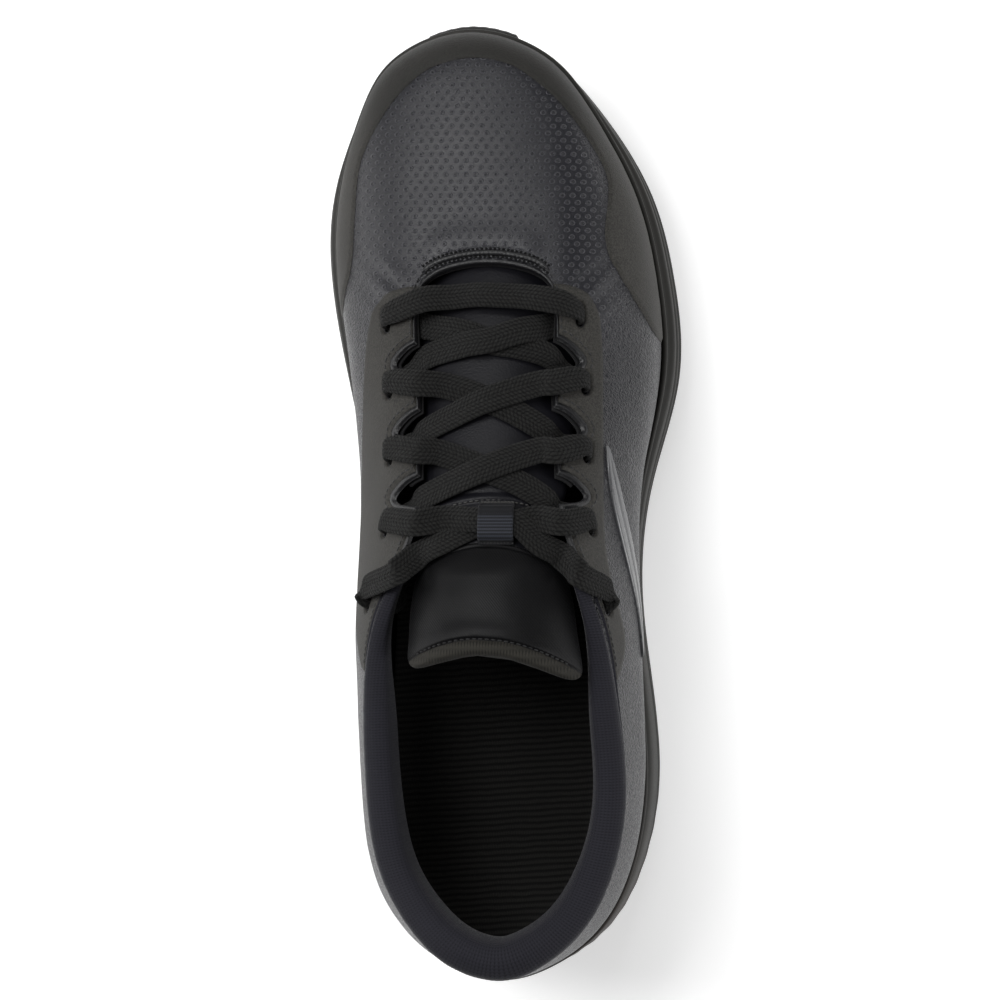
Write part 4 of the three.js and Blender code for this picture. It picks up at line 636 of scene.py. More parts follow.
def knit_material(name, c0, c1, pitch=1.05, row=1.5, deep=0.1, sheen=0.06):
    """Jersey: ribs across u, with small V loops along them."""
    M = Mat(name, c1, rough=0.85, spec=0.2, sheen=sheen, sheen_rough=0.35)
    x, y, _ = M.split(M.uv())
    wob = M.mul(M.sub(M.noise(M.join(M.mul(x, 0.35), M.mul(y, 0.35)), 1.0, 2.0), 0.5), 0.35)
    u = M.m2("FRACT", M.mul(M.add(x, M.add(wob, 500.0)), 1 / pitch))
    k = M.m2("ABSOLUTE", M.sub(u, 0.5))
    rib = M.m2("SQRT", M.m2("MAXIMUM", M.sub(0.25, M.mul(k, k)), 0.0))
    loop = M.m2("ABSOLUTE", M.sub(M.m2("FRACT", M.add(M.mul(y, 1 / row), M.mul(k, 1.1))), 0.5))
    h = M.add(M.mul(rib, 1.3), M.mul(loop, 0.75))
    fuzz = M.noise(M.mm(), 7.0, 2.0, 0.7)
    M.bump(M.add(h, M.mul(fuzz, 0.4)), deep, 1.0)
    # painted shade: where the rib and loop relief is low the colour goes to the darker c0; the slow noise on c1 is
    # random tone
    f = M.fit(h, 0.25, 0.95)
    M.set("Base Color", M.blend(f, c0, M.blend(M.noise(M.mm(), 0.05, 2.0), c1, tuple(k * 1.3 for k in c1))))
    M.set("Roughness", M.fit(fuzz, 0.3, 0.7, 0.78, 0.92))
    return M.m


def twill_material(name, c0, c1, pitch=0.62, sheen=0.05, rough=0.6):
    M = Mat(name, c1, rough=rough, spec=0.13, sheen=sheen, sheen_rough=0.3)
    x, y, _ = M.split(M.uv())
    a, b = rot(M, x, y, 38)
    u = M.m2("ABSOLUTE", M.sub(M.m2("FRACT", M.add(M.mul(a, 1 / pitch), 300.0)), 0.5))
    v = M.m2("ABSOLUTE", M.sub(M.m2("FRACT", M.add(M.mul(b, 1 / (pitch * 1.7)), M.add(M.mul(M.m2("FLOOR", M.mul(a, 1 / pitch)), 0.5), 300.0))), 0.5))
    h = M.sub(1.0, M.add(M.mul(u, 1.1), M.mul(v, 0.5)))
    fuzz = M.noise(M.mm(), 6.0, 2.0, 0.7)
    M.bump(M.add(h, M.mul(fuzz, 0.3)), 0.07, 1.0)
    # painted shade: the twill's grooves take the darker c0, its ridges the lighter c1
    M.set("Base Color", M.blend(M.fit(h, 0.3, 0.9), c0, c1))
    M.set("Roughness", M.fit(fuzz, 0.3, 0.7, rough - 0.06, rough + 0.08))
    return M.m


def insole_material():
    M = Mat("insole_mesh", (0.004, 0.004, 0.004), rough=0.8, spec=0.15, sheen=0.02)
    x, y, _ = M.split(M.uv())
    w = M.mul(M.sub(M.noise(M.join(M.mul(x, 0.12), M.mul(y, 0.12)), 1.0, 2.0), 0.5), 0.9)
    r = M.m2("FRACT", M.add(M.mul(M.add(M.sub(y, M.mul(x, 0.07)), w), 1 / 1.9), 200.0))
    k = M.m2("ABSOLUTE", M.sub(r, 0.5))
    bar = M.fit(k, 0.42, 0.16)
    dash = M.m2("ABSOLUTE", M.sub(M.m2("FRACT", M.add(M.mul(x, 1 / 0.8), M.mul(M.m2("FLOOR", M.mul(y, 1 / 1.9)), 0.5))), 0.5))
    h = M.add(bar, M.mul(dash, 0.5))
    fuzz = M.noise(M.mm(), 5.0, 3.0, 0.7)
    M.bump(M.add(h, M.mul(fuzz, 0.35)), 0.22, 1.0)
    # painted shade: the grooves between the ribs and dashes are near-black and the raised bars lighter, with random
    # fuzz tone on them
    M.set("Base Color", M.blend(M.mul(bar, M.add(0.45, M.mul(dash, 1.1))), (0.0014, 0.0014, 0.0013), M.blend(fuzz, (0.008, 0.0077, 0.007), (0.0145, 0.014, 0.0128))))
    M.set("Roughness", M.fit(fuzz, 0.3, 0.7, 0.72, 0.88))
    return M.m


def lace_material():
    M = Mat("lace_braid", (0.014, 0.014, 0.0125), rough=0.85, spec=0.15, sheen=0.04, sheen_rough=0.45)
    x, y, _ = M.split(M.uv())  # x across, y along, in millimetres
    ax = M.m2("ABSOLUTE", x)
    wob = M.mul(M.sub(M.noise(M.mm(), 0.9, 2.0), 0.5), 1.1)
    s = M.m2("FRACT", M.add(M.mul(M.add(M.sub(y, M.mul(ax, 0.75)), wob), 1 / 1.35), 400.0))
    t = M.m2("FRACT", M.add(M.mul(M.add(x, M.mul(wob, 0.5)), 1 / 1.2), 40.5))
    a = M.m2("ABSOLUTE", M.sub(s, 0.5))
    b = M.m2("ABSOLUTE", M.sub(t, 0.5))
    h = M.sub(1.0, M.add(M.mul(M.mul(a, a), 2.6), M.mul(M.mul(b, b), 2.4)))
    fuzz = M.noise(M.mm(), 2.6, 4.0, 0.8)
    M.bump(M.add(h, M.mul(fuzz, 2.2)), 0.5, 1.0)
    # painted light and shade: the braid's strand crests are lighter and its gaps darker, mixed with random fuzz tone
    M.set("Base Color", M.blend(M.fit(M.add(M.mul(h, 0.5), M.mul(fuzz, 0.8)), 0.5, 1.0), (0.0016, 0.0016, 0.0015), (0.0225, 0.0223, 0.0212)))
    M.set("Roughness", M.fit(fuzz, 0.3, 0.7, 0.78, 0.95))
    return M.m


def rubber_material(name, c, rough=0.62, speck=0.03, heel_sheen_tint=None):
    M = Mat(name, c, rough=rough, spec=0.28)
    p = M.mm()
    g = M.noise(p, 3.0, 4.0, 0.7)
    big = M.noise(p, 0.05, 3.0, 0.6)
    M.bump(M.add(g, M.mul(M.noise(p, 0.35, 2.0), 0.6)), speck, 0.9)
    col = M.blend(big, tuple(k * 0.82 for k in c), tuple(k * 1.2 for k in c))
    if heel_sheen_tint:
        # painted sheen: a lighter, browner tint on the outer side of the heel
        x, y, z = M.split(p)
        col = M.blend(M.mul(M.fit(y, -95.0, -140.0), M.fit(x, 5.0, 40.0)), col, heel_sheen_tint)
    dust = M.mul(M.fit(g, 0.55, 0.8), 0.25)
    M.set("Base Color", M.blend(dust, col, tuple(k * 1.6 for k in c)))
    M.set("Roughness", M.fit(g, 0.3, 0.7, rough - 0.07, rough + 0.08))
    return M.m


def smooth_hide_material(name, c, rough=0.5):
    M = Mat(name, c, rough=rough, spec=0.16)
    p = M.mm()
    cells = M.fit(M.cells(M.node("ShaderNodeVectorMath", props={"operation": "SCALE"}, _0=p, Scale=0.95), 1.0), 0.0, 0.3)
    g = M.noise(p, 2.2, 3.0, 0.65)
    M.bump(M.add(M.mul(cells, 0.045), M.mul(g, 0.06)), 1.0, 0.7)
    M.set("Base Color", M.blend(M.noise(p, 0.06, 2.0), tuple(k * 0.8 for k in c), tuple(k * 1.25 for k in c)))
    M.set("Roughness", M.fit(g, 0.3, 0.7, rough - 0.06, rough + 0.08))
    return M.m


def webbing_material():
    M = Mat("webbing", (0.014, 0.015, 0.021), rough=0.7, spec=0.2, sheen=0.05)
    x, y, _ = M.split(M.uv())
    a = M.m2("ABSOLUTE", M.sub(M.m2("FRACT", M.add(M.mul(y, 1 / 0.9), 90.0)), 0.5))
    b = M.m2("ABSOLUTE", M.sub(M.m2("FRACT", M.add(M.mul(x, 1 / 0.55), M.mul(M.m2("FLOOR", M.mul(y, 1 / 0.9)), 0.5))), 0.5))
    h = M.sub(1.0, M.add(M.mul(a, 1.2), M.mul(b, 0.6)))
    M.bump(M.add(h, M.mul(M.noise(M.mm(), 6.0, 2.0), 0.3)), 0.1, 1.0)
    # painted light and shade: only the middle of the band, 6.6 to 15.6 mm along it, gets the lighter colour, its ends
    # where it curves down stay dark, and the rib grooves are darker than the crests
    mid = M.mul(M.fit(y, 6.6, 8.0), M.fit(y, 15.6, 13.6))
    M.set("Base Color", M.blend(M.fit(h, 0.25, 0.85), (0.003, 0.0032, 0.0045), M.blend(mid, (0.006, 0.0062, 0.008), (0.026, 0.029, 0.038))))
    return M.m


def gloss_material(name, c0, c1, rough=0.22):
    M = Mat(name, c1, rough=rough, spec=0.6, coat=0.3, coat_rough=0.15)
    p = M.mm()
    x, y, z = M.split(p)
    g = M.noise(p, 2.0, 2.0)
    M.bump(g, 0.006, 0.4)
    M.set("Base Color", M.blend(M.fit(M.add(y, M.mul(g, 4.0)), -60.0, 10.0), c0, c1))
    M.set("Roughness", M.fit(M.noise(p, 0.4, 3.0), 0.3, 0.7, rough, rough + 0.1))
    return M.m


LEATHER, FILM_M = leather_material(), film_material()
THREAD = thread_material("thread_black", (0.012, 0.012, 0.013))
THREAD_GREY = thread_material("thread_grey", (0.045, 0.044, 0.042))
# the first colour given to each knit and twill below is the painted shade in the gaps of its relief
COLLAR_M = knit_material("collar_knit_jersey", (0.004, 0.004, 0.0065), (0.0135, 0.0132, 0.018), pitch=0.84, row=1.1, deep=0.13, sheen=0.12)
LINING_M = knit_material("lining_mesh", (0.002, 0.002, 0.002), (0.008, 0.008, 0.0085), pitch=1.6, row=1.6, deep=0.14, sheen=0.03)
TONGUE_M = smooth_hide_material("tongue_hide", (0.005, 0.005, 0.0068), 0.42)
PAD_M = twill_material("tongue_pad_twill", (0.0012, 0.0012, 0.0014), (0.0052, 0.0052, 0.0057), rough=0.46)
ROLL_M = knit_material("tongue_edge_binding", (0.007, 0.0065, 0.0052), (0.022, 0.0205, 0.017), pitch=0.9, row=2.6, deep=0.1, sheen=0.04)
INSOLE_M, LACE_M, WEB_M = insole_material(), lace_material(), webbing_material()
FOAM_M = rubber_material("insole_foam_board", (0.03, 0.03, 0.032), 0.85, 0.06)
EVA_M = rubber_material("midsole_foam", (0.0155, 0.0148, 0.0128), 0.58, 0.035, heel_sheen_tint=(0.022, 0.016, 0.0125))
TREAD_M = rubber_material("outsole_rubber", (0.013, 0.0128, 0.012), 0.5, 0.03)
TIP_M = gloss_material("lace_tip_plastic", (0.012, 0.012, 0.012), (0.02, 0.02, 0.02), 0.28)
EMBLEM_M = gloss_material("emblem_film", (0.02, 0.021, 0.023), (0.055, 0.056, 0.06), 0.24)
# painted shade: a near-black, matte material for the throat stitches, standing for their shaded needle holes
NEEDLE_HOLE_SHADE_M = rubber_material("needle_hole_painted_shade", (0.0012, 0.0012, 0.0014), 0.92, 0.02)
BOARD_M = rubber_material("strobel_fabric", (0.04, 0.04, 0.042), 0.9, 0.12)


def ship(o, body="shoe", replaces=(), blend=None):
    if blend:
        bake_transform(o)
    else:
        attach(o, body)
    if replaces:
        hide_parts(*replaces)
    return o


# ---------------------------------------------------------------- lace first, since it is the one cord-like thing
def catmull(P, W, Nr, step):
    """The CAD lace's own line, finely sampled: centre, width direction, narrowing."""
    n = len(P)
    out_p, out_w, out_n, out_t = [], [], [], []
    for i in range(n - 1):
        p0, p1, p2, p3 = P[max(i - 1, 0)], P[i], P[i + 1], P[min(i + 2, n - 1)]
        L = np.linalg.norm(p2 - p1)
        a, b, c = np.linalg.norm(p1 - p0), L, np.linalg.norm(p3 - p2)
        m1, m2 = (p2 - p0) * (L / ((a + b) or 1)), (p3 - p1) * (L / ((b + c) or 1))
        k = max(1, int(round(L / step)))
        u = (np.arange(k + (1 if i == n - 2 else 0)) / k)[:, None]
        out_p.append(p1 * (2 * u**3 - 3 * u * u + 1) + m1 * (u**3 - 2 * u * u + u) + p2 * (3 * u * u - 2 * u**3) + m2 * (u**3 - u * u))
        d = p1 * (6 * u * u - 6 * u) + m1 * (3 * u * u - 4 * u + 1) + p2 * (6 * u - 6 * u * u) + m2 * (3 * u * u - 2 * u)
        out_t.append(d / np.maximum(np.linalg.norm(d, axis=1, keepdims=True), 1e-9))
        out_w.append(W[i] * (1 - u) + W[i + 1] * u)
        out_n.append(Nr[i] * (1 - u[:, 0]) + Nr[i + 1] * u[:, 0])
    return (np.concatenate(x) for x in (out_p, out_t, out_w, out_n))


def make_lace():
    L = np.array(LACE, float)
    P, T, W, Nr = catmull(L[:, :3], L[:, 3:6], L[:, 6], 0.45)
    side = W - T * (W * T).sum(1, keepdims=True)
    side /= np.maximum(np.linalg.norm(side, axis=1, keepdims=True), 1e-9)
    for _ in range(6):  # even out the turning of the flat side
        side[1:-1] = side[1:-1] * 0.5 + (side[:-2] + side[2:]) * 0.25
        side -= T * (side * T).sum(1, keepdims=True)
        side /= np.maximum(np.linalg.norm(side, axis=1, keepdims=True), 1e-9)
    up = np.cross(T, side)
    for _ in range(4):
        P[1:-1] = P[1:-1] * 0.5 + (P[:-2] + P[2:]) * 0.25
    width = 8.3 - 0.5 * np.minimum(Nr, 1) - 4.4 * np.maximum(0, Nr - 1)
    hd = np.min([np.linalg.norm(P - np.array(h[:3]) - np.array(h[3:6]) * 0.8, axis=1) for h in HOLES], axis=0)
    width = width * (0.70 + 0.30 * slip(1.2, 6.5, hd))
    g = np.convolve(np.pad(width, 6, mode="edge"), np.ones(13) / 13, "valid")
    K = 28
    ang = np.arange(K) * 2 * np.pi / K
    ca, sa = np.cos(ang), np.sin(ang)
    # flat oval section, a little thicker where the lace is narrow
    sx = np.sign(ca) * np.abs(ca) ** 0.55
    sz = np.sign(sa) * np.abs(sa) ** 0.75
    arc = np.concatenate([[0], np.cumsum(np.linalg.norm(np.diff(P, axis=0), axis=1))])
    thick = 1.55 + 0.22 * (8.3 - g)
    across = sx[None] * g[:, None] / 2
    weave = 0.1 * np.cos(2 * np.pi * (arc[:, None] - 0.75 * np.abs(across)) / 1.35) * np.cos(2 * np.pi * (across / 2.4)) + 0.05 * bumps(P[:, :1] + across, P[:, 1:2], arc[:, None], 1.6, 6)
    wobble = 0.12 * bumps(arc, arc * 0.3, arc * 0, 0.35, 5)
    V = P[:, None] + side[:, None] * (across + wobble[:, None])[..., None] + up[:, None] * ((sz[None] * (thick[:, None] / 2) + weave * np.sign(sa)[None]) - 0.12 * (1 - (across / (g[:, None] / 2)) ** 2) * np.sign(sa)[None] * 0)[..., None]
    R = len(P)
    f = grid_faces(R, K, True)
    V = V.reshape(-1, 3)
    f.append(list(range(K))[::-1])
    f.append([(R - 1) * K + k for k in range(K)])
    uv = np.stack([across.ravel(), np.repeat(arc, K)], 1)
    o = to_mesh("lace_braid", V, f, uv=uv, material=LACE_M)
    fix_normals(o)
    ship(o, replaces=["lace"])
    # tips: rolled plastic tubes with a seam and a crimped mouth
    for name, a, b in (("lace_tip_a", L[0, :3], L[1, :3]), ("lace_tip_b", L[-1, :3], L[-2, :3])):
        d = (a - b) / np.linalg.norm(a - b)
        c = a + d * 10.3
        c[2] = float(floorZ(c[1]) + 1.3 + INS_THICK(c[1]) + 1.12 + 2)
        rows = [(-10.2, 0.9), (-10.2, 1.35), (-9.7, 1.5), (-8.6, 1.5), (-8.2, 1.36), (0, 1.34), (8.6, 1.28), (9.5, 1.22), (10.1, 0.95), (10.25, 0.0)]
        e1 = np.cross(d, [0, 0, 1.0])
        e1 /= np.linalg.norm(e1)
        e2 = np.cross(d, e1)
        k = 28
        an = np.arange(k) * 2 * np.pi / k
        seam = 1 - 0.09 * np.exp(-(((an - 4.6) / 0.22) ** 2))
        V = np.array([[c + d * u + (e1 * math.cos(q) + e2 * math.sin(q)) * r * w for q, w in zip(an, seam)] for u, r in rows])
        f = grid_faces(len(rows), k, True) + [list(range(k))[::-1], [(len(rows) - 1) * k + j for j in range(k)]]
        o = to_mesh(name, V.reshape(-1, 3), f, material=TIP_M, angle=50)
        fix_normals(o)
        ship(o, replaces=["lace_tip_outer" if name[-1] == "a" else "lace_tip_inner"])


def fix_normals(o):
    import bmesh

    bm = bmesh.new()
    bm.from_mesh(o.data)
    bmesh.ops.recalc_face_normals(bm, faces=bm.faces)
    bm.to_mesh(o.data)
    bm.free()


INS_THICK = table([[-150, 6.2], [-100, 5.6], [-40, 5.8], [20, 4.4], [80, 3.8], [145, 3.4]])
INS_CUP = table([[-150, 5], [-110, 4.6], [-60, 4.4], [-20, 3.6], [20, 1.6], [60, 0.6], [145, 0.4]])
make_lace()

# ---------------------------------------------------------------- the upper


def upper():
    nt, ns = (1300, 150)
    t = np.arange(nt) * RIBS / nt
    s = np.concatenate([np.linspace(0.55, 4.2, 96, endpoint=False), np.linspace(4.2, 5, ns - 96)])
    T, Q = np.meshgrid(t, s)
    P, N = S(T, Q)
    ds = np.concatenate([np.zeros((1, nt)), np.cumsum(np.linalg.norm(np.diff(P, axis=0), axis=-1), 0)])
    to_top = ds[-1][None] - ds  # distance along the skin to the topline
    notch = np.full(T.shape, 1e3)
    for k in NOTCH_P:
        near = (np.abs(P[..., 0] - k[:, 0].mean()) < 24) & (np.abs(P[..., 1] - k[:, 1].mean()) < 18)
        notch[near] = np.minimum(notch[near], -sd_poly(P[..., 0][near], P[..., 1][near], k))
    hole = hole_distance(P)
    edge = np.minimum(to_top, notch)
    keep = np.minimum(notch, hole)
    W = wrapped(T)
    throat = slip(6.3, 7.0, W)  # eyelet rows and vamp, not the collar
    front = slip(11.2, 11.9, W)  # the arc across the throat's front
    x, y = P[..., 0], P[..., 1]
    bead = lambda d, w, h: h * np.sqrt(np.clip(1 - ((d - w / 2) / (w / 2)) ** 2, 0, 1))
    out = np.zeros(T.shape)
    out += throat * (1 - front) * bead(edge, 1.7, 0.5)
    out += front * (bead(edge, 2.0, 0.55) - 0.28 * np.exp(-(((edge - 2.5) / 0.35) ** 2)) - 0.28 * np.exp(-(((edge - 5.0) / 0.35) ** 2)))
    out += front * 0.75 * np.exp(-(((edge - 8.6) / 4.2) ** 2))
    out += (1 - throat) * (bead(edge, 1.6, 0.15))
    out -= 0.75 * (1 - slip(0, 0.55, edge)) + 0.35 * (1 - slip(0, 0.7, hole))
    out += 0.10 * bumps(x, y, P[..., 2], 0.09, 3) * slip(0, 6, edge) + 0.05 * bumps(x, y, P[..., 2], 0.25, 4) * slip(0, 6, edge)
    # soft folds beside the throat's front corners and where the vamp bends
    for cx, cy, ang, amp in ((-33, 64, 0.9, 0.28), (31, 66, -0.85, 0.24)):
        u = (x - cx) * math.cos(ang) + (y - cy) * math.sin(ang)
        v = -(x - cx) * math.sin(ang) + (y - cy) * math.cos(ang)
        out += amp * np.cos(u * 2 * np.pi / 7.5) * np.exp(-((u / 9) ** 2) - ((v / 12) ** 2)) * slip(3, 9, edge)
    inn = -1.35 + 0.5 * (1 - slip(0, 0.55, keep)) + 0.5 * (1 - slip(0, 0.5, edge))
    dots = slip(0.52, 0.8, N[..., 2]) * slip(38, 60, y)
    plain = np.clip(1 - slip(1.5, 2.6, edge) * slip(0.4, 1.2, hole), 0, 1) * throat
    film = film_field(P, Q, W)
    o = skin("upper_leather", T, Q, keep, out, inn, around=True, attrs={"dots": dots, "plain": plain}, material=LEATHER)
    ship(o, replaces=["upper_shell"])

    # fused films: the toe rand and the two eyelet films
    sub = lambda m: m
    rows = np.ones(len(s), bool)
    toe_cols = (t >= 7.3) & (t <= 18.7)
    g = np.ix_(rows, toe_cols)
    F = np.minimum(film["toe"], film["toe_low"])[g]
    rise = slip(0, 0.9, film["toe"][g])
    o = skin("toe_film", T[g], Q[g], F, out[g] * 0.8 + 0.1 + 0.5 * rise, out[g] * 0.8 - 0.35 + 0 * rise, material=FILM_M)
    ship(o, replaces=["toe_rand"])
    for name, sel, node in (("eyestay_film_outer", (t >= 4) & (t <= 12), "eyestay_outer"), ("eyestay_film_inner", (t >= 14) & (t <= 22), "eyestay_inner")):
        g = np.ix_(Q[:, 0] > 2.2, sel)
        F = np.minimum(np.minimum(film[node], edge - 1.75), hole - 0.35)[g]
        rise = slip(0, 0.8, F)
        base = out - (1 - front) * throat * bead(edge, 1.7, 0.5)
        o = skin(name, T[g], Q[g], F, base[g] + 0.06 + 0.56 * rise, base[g] - 0.4, material=FILM_M)
        ship(o, replaces=[node])

    # stitching: along the eyelet edges and round the throat's front
    rows = np.ix_(Q[:, 0] > 2.5, (t > 5.2) & (t < 20.8))
    lane = (edge - 3.0)[rows]
    n = 0
    for line in contour(lane):
        if len(line) < 60:
            continue
        A, Nn = on_surface(line, T[rows], Q[rows], 0.64)
        inside_holes = hole_distance(A) > 0.6
        back = wrapped(np.array([T[rows].ravel()[p[0]] for p in line]))
        sel = (back < 11.5) & (back > 5.4) & inside_holes
        runs = np.split(np.arange(len(A)), np.where(np.diff(sel.astype(int)) != 0)[0] + 1)
        for r in runs:
            if len(r) > 12 and sel[r[0]]:
                stitch_line(f"eyelet_stitches_{n}", A[r], Nn[r], 2.1, 1.6, 0.26, THREAD)
                n += 1
    g = np.ix_(Q[:, 0] > 3.6, (t > 11.0) & (t < 15.0))
    # two rows of stitches round the throat's front, near-black as painted shade in their needle holes
    for k, (d, rr) in enumerate(((2.5, 0.3), (5.0, 0.3))):
        for line in contour((to_top - d)[g]):
            if len(line) > 40:
                A, Nn = on_surface(line, T[g], Q[g], (out + 0.12)[g])
                stitch_line(f"throat_stitches_{k}", A, Nn, 1.35, 0.92, 0.36, NEEDLE_HOLE_SHADE_M)
    # the raised cord between the two rows
    for line in contour((to_top - 3.75)[g]):
        if len(line) > 40:
            A, Nn = on_surface(line, T[g], Q[g], (out + 0.05)[g])
            A = relax(A, 5)
            d = np.gradient(A, axis=0)
            d /= np.linalg.norm(d, axis=1, keepdims=True)
            b = np.cross(Nn, d)
            K = 14
            an = np.arange(K) * 2 * np.pi / K
            L = np.concatenate([[0], np.cumsum(np.linalg.norm(np.diff(A, axis=0), axis=1))])
            end = np.clip(np.minimum(L, L[-1] - L) / 3, 0.02, 1) ** 0.5
            rad = 0.84 * end * (1 + 0.05 * np.cos(2 * np.pi * L / 1.35))
            V = A[:, None] + b[:, None] * (np.cos(an)[None] * rad[:, None] * 1.1)[..., None] + Nn[:, None] * (np.sin(an)[None] * rad[:, None] * 0.8 + 0.1)[..., None]
            f = grid_faces(len(A), K, True) + [list(range(K))[::-1], [(len(A) - 1) * K + j for j in range(K)]]
            o = to_mesh("throat_ridge", V.reshape(-1, 3), f, attrs={"dots": np.zeros(V.shape[0] * K), "plain": np.ones(V.shape[0] * K)}, material=LEATHER)
            fix_normals(o)
            ship(o, replaces=["throat_edge"])
            break

    # linings and stiffeners
    for name, sel, smin, smax, slot, node in (("vamp_lining_cloth", (t >= 7.5) & (t <= 18.5), 0.55, 5, "lining", "vamp_lining"),):
        g = np.ix_((Q[:, 0] >= smin) & (Q[:, 0] <= smax), sel)
        d = depth(T, Q)[g]
        F = np.minimum(keep, to_top + 0.001)[g] + 0.3
        o = skin(name, T[g], Q[g], F, -d, -d - 0.8, attrs={}, material=LINING_M)
        ship(o, replaces=[node])
    tq = np.linspace(-7.47, 7.47, 420)
    sq = np.linspace(0.55, 3.7, 60)
    TT, QQ = np.meshgrid(tq, sq)
    d = depth(TT, QQ)
    A, Nn = S(TT, QQ)
    u = np.cumsum(np.concatenate([[0], np.linalg.norm(np.diff(A[30], axis=0), axis=1)]))
    v = np.concatenate([np.zeros((1, len(tq))), np.cumsum(np.linalg.norm(np.diff(A, axis=0), axis=-1), 0)])
    uv = np.stack([np.broadcast_to(u, v.shape), v], -1)
    tc = np.linspace(-4, 4, 240)
    TC, QC = np.meshgrid(tc, np.linspace(0.6, 3.1, 50))
    C, Cn = S(TC, QC)
    o = slab_mesh("heel_counter_board", C - Cn * 1.7, C - Cn * 2.6, material=BOARD_M)
    fix_normals(o)
    ship(o, replaces=["heel_counter"])
    o = slab_mesh("quarter_lining_cloth", A - Nn * (d + 0.8)[..., None], A - Nn * d[..., None], uv=uv, material=LINING_M)
    fix_normals(o)
    ship(o, replaces=["quarter_lining"])
    return T, Q, out, edge


def film_field(P, Q, W):
    x, y = P[..., 0], P[..., 1]
    win = smooth_poly(WINDOW, 2)
    toe = -sd_poly(x, y, win)
    toe = np.minimum(toe, slip(0, 1, (W - 7.3)) * 60 - 0.01)
    so, si = smooth_poly(STAY_OUTER, 2), smooth_poly(STAY_INNER, 2)
    return {"toe": toe, "toe_low": np.where(Q > 0.9, 50.0, -1.0), "eyestay_outer": sd_poly(x, y, so), "eyestay_inner": sd_poly(x, y, si)}


T_, Q_, OUT_, EDGE_ = upper()


# ---------------------------------------------------------------- emblem: a plain slanted blade
def emblem():
    nu, nw = 120, 25
    u = np.linspace(0, 1, nu)
    w = np.linspace(-1, 1, nw)
    U, Wd = np.meshgrid(u, w)
    tt, ss = 5.35 + 2.35 * U, 2.45 + 1.05 * U + Wd * (0.03 + 0.2 * np.sin(np.pi * U**0.8))
    A, N = S(tt, ss)
    edge = np.minimum(1 - np.abs(Wd), 1)
    h = 0.12 + 0.62 * np.clip(edge / 0.22, 0, 1) ** 0.5 * np.clip(np.minimum(U, 1 - U) / 0.02, 0.05, 1) ** 0.5
    h += -0.25 * np.exp(-((Wd / 0.16) ** 2)) * slip(0.06, 0.16, U) * slip(0.94, 0.84, U)  # a groove down its middle
    o = slab_mesh("emblem_blade", A + N * h[..., None], A - N * 0.3, material=EMBLEM_M, angle=60)
    fix_normals(o)
    ship(o, replaces=["side_emblem"])


emblem()


# ---------------------------------------------------------------- padded collar
def cr(points, n):
    """Centripetal-like smooth curve through rows of points [k][...][3], resampled to n."""
    P = np.array(points, float)
    K = len(P)
    ghost = np.concatenate([2 * P[:1] - P[1:2], P, 2 * P[-1:] - P[-2:-1]])
    u = np.linspace(0, K - 1 - 1e-9, n)
    i = np.floor(u).astype(int)
    f = (u - i).reshape((-1,) + (1,) * (P.ndim - 1))
    a, b, c, d = ghost[i], ghost[i + 1], ghost[i + 2], ghost[i + 3]
    return 0.5 * (2 * b + (c - a) * f + (2 * a - 5 * b + 4 * c - d) * f**2 + (3 * b - a - 3 * c + d) * f**3)


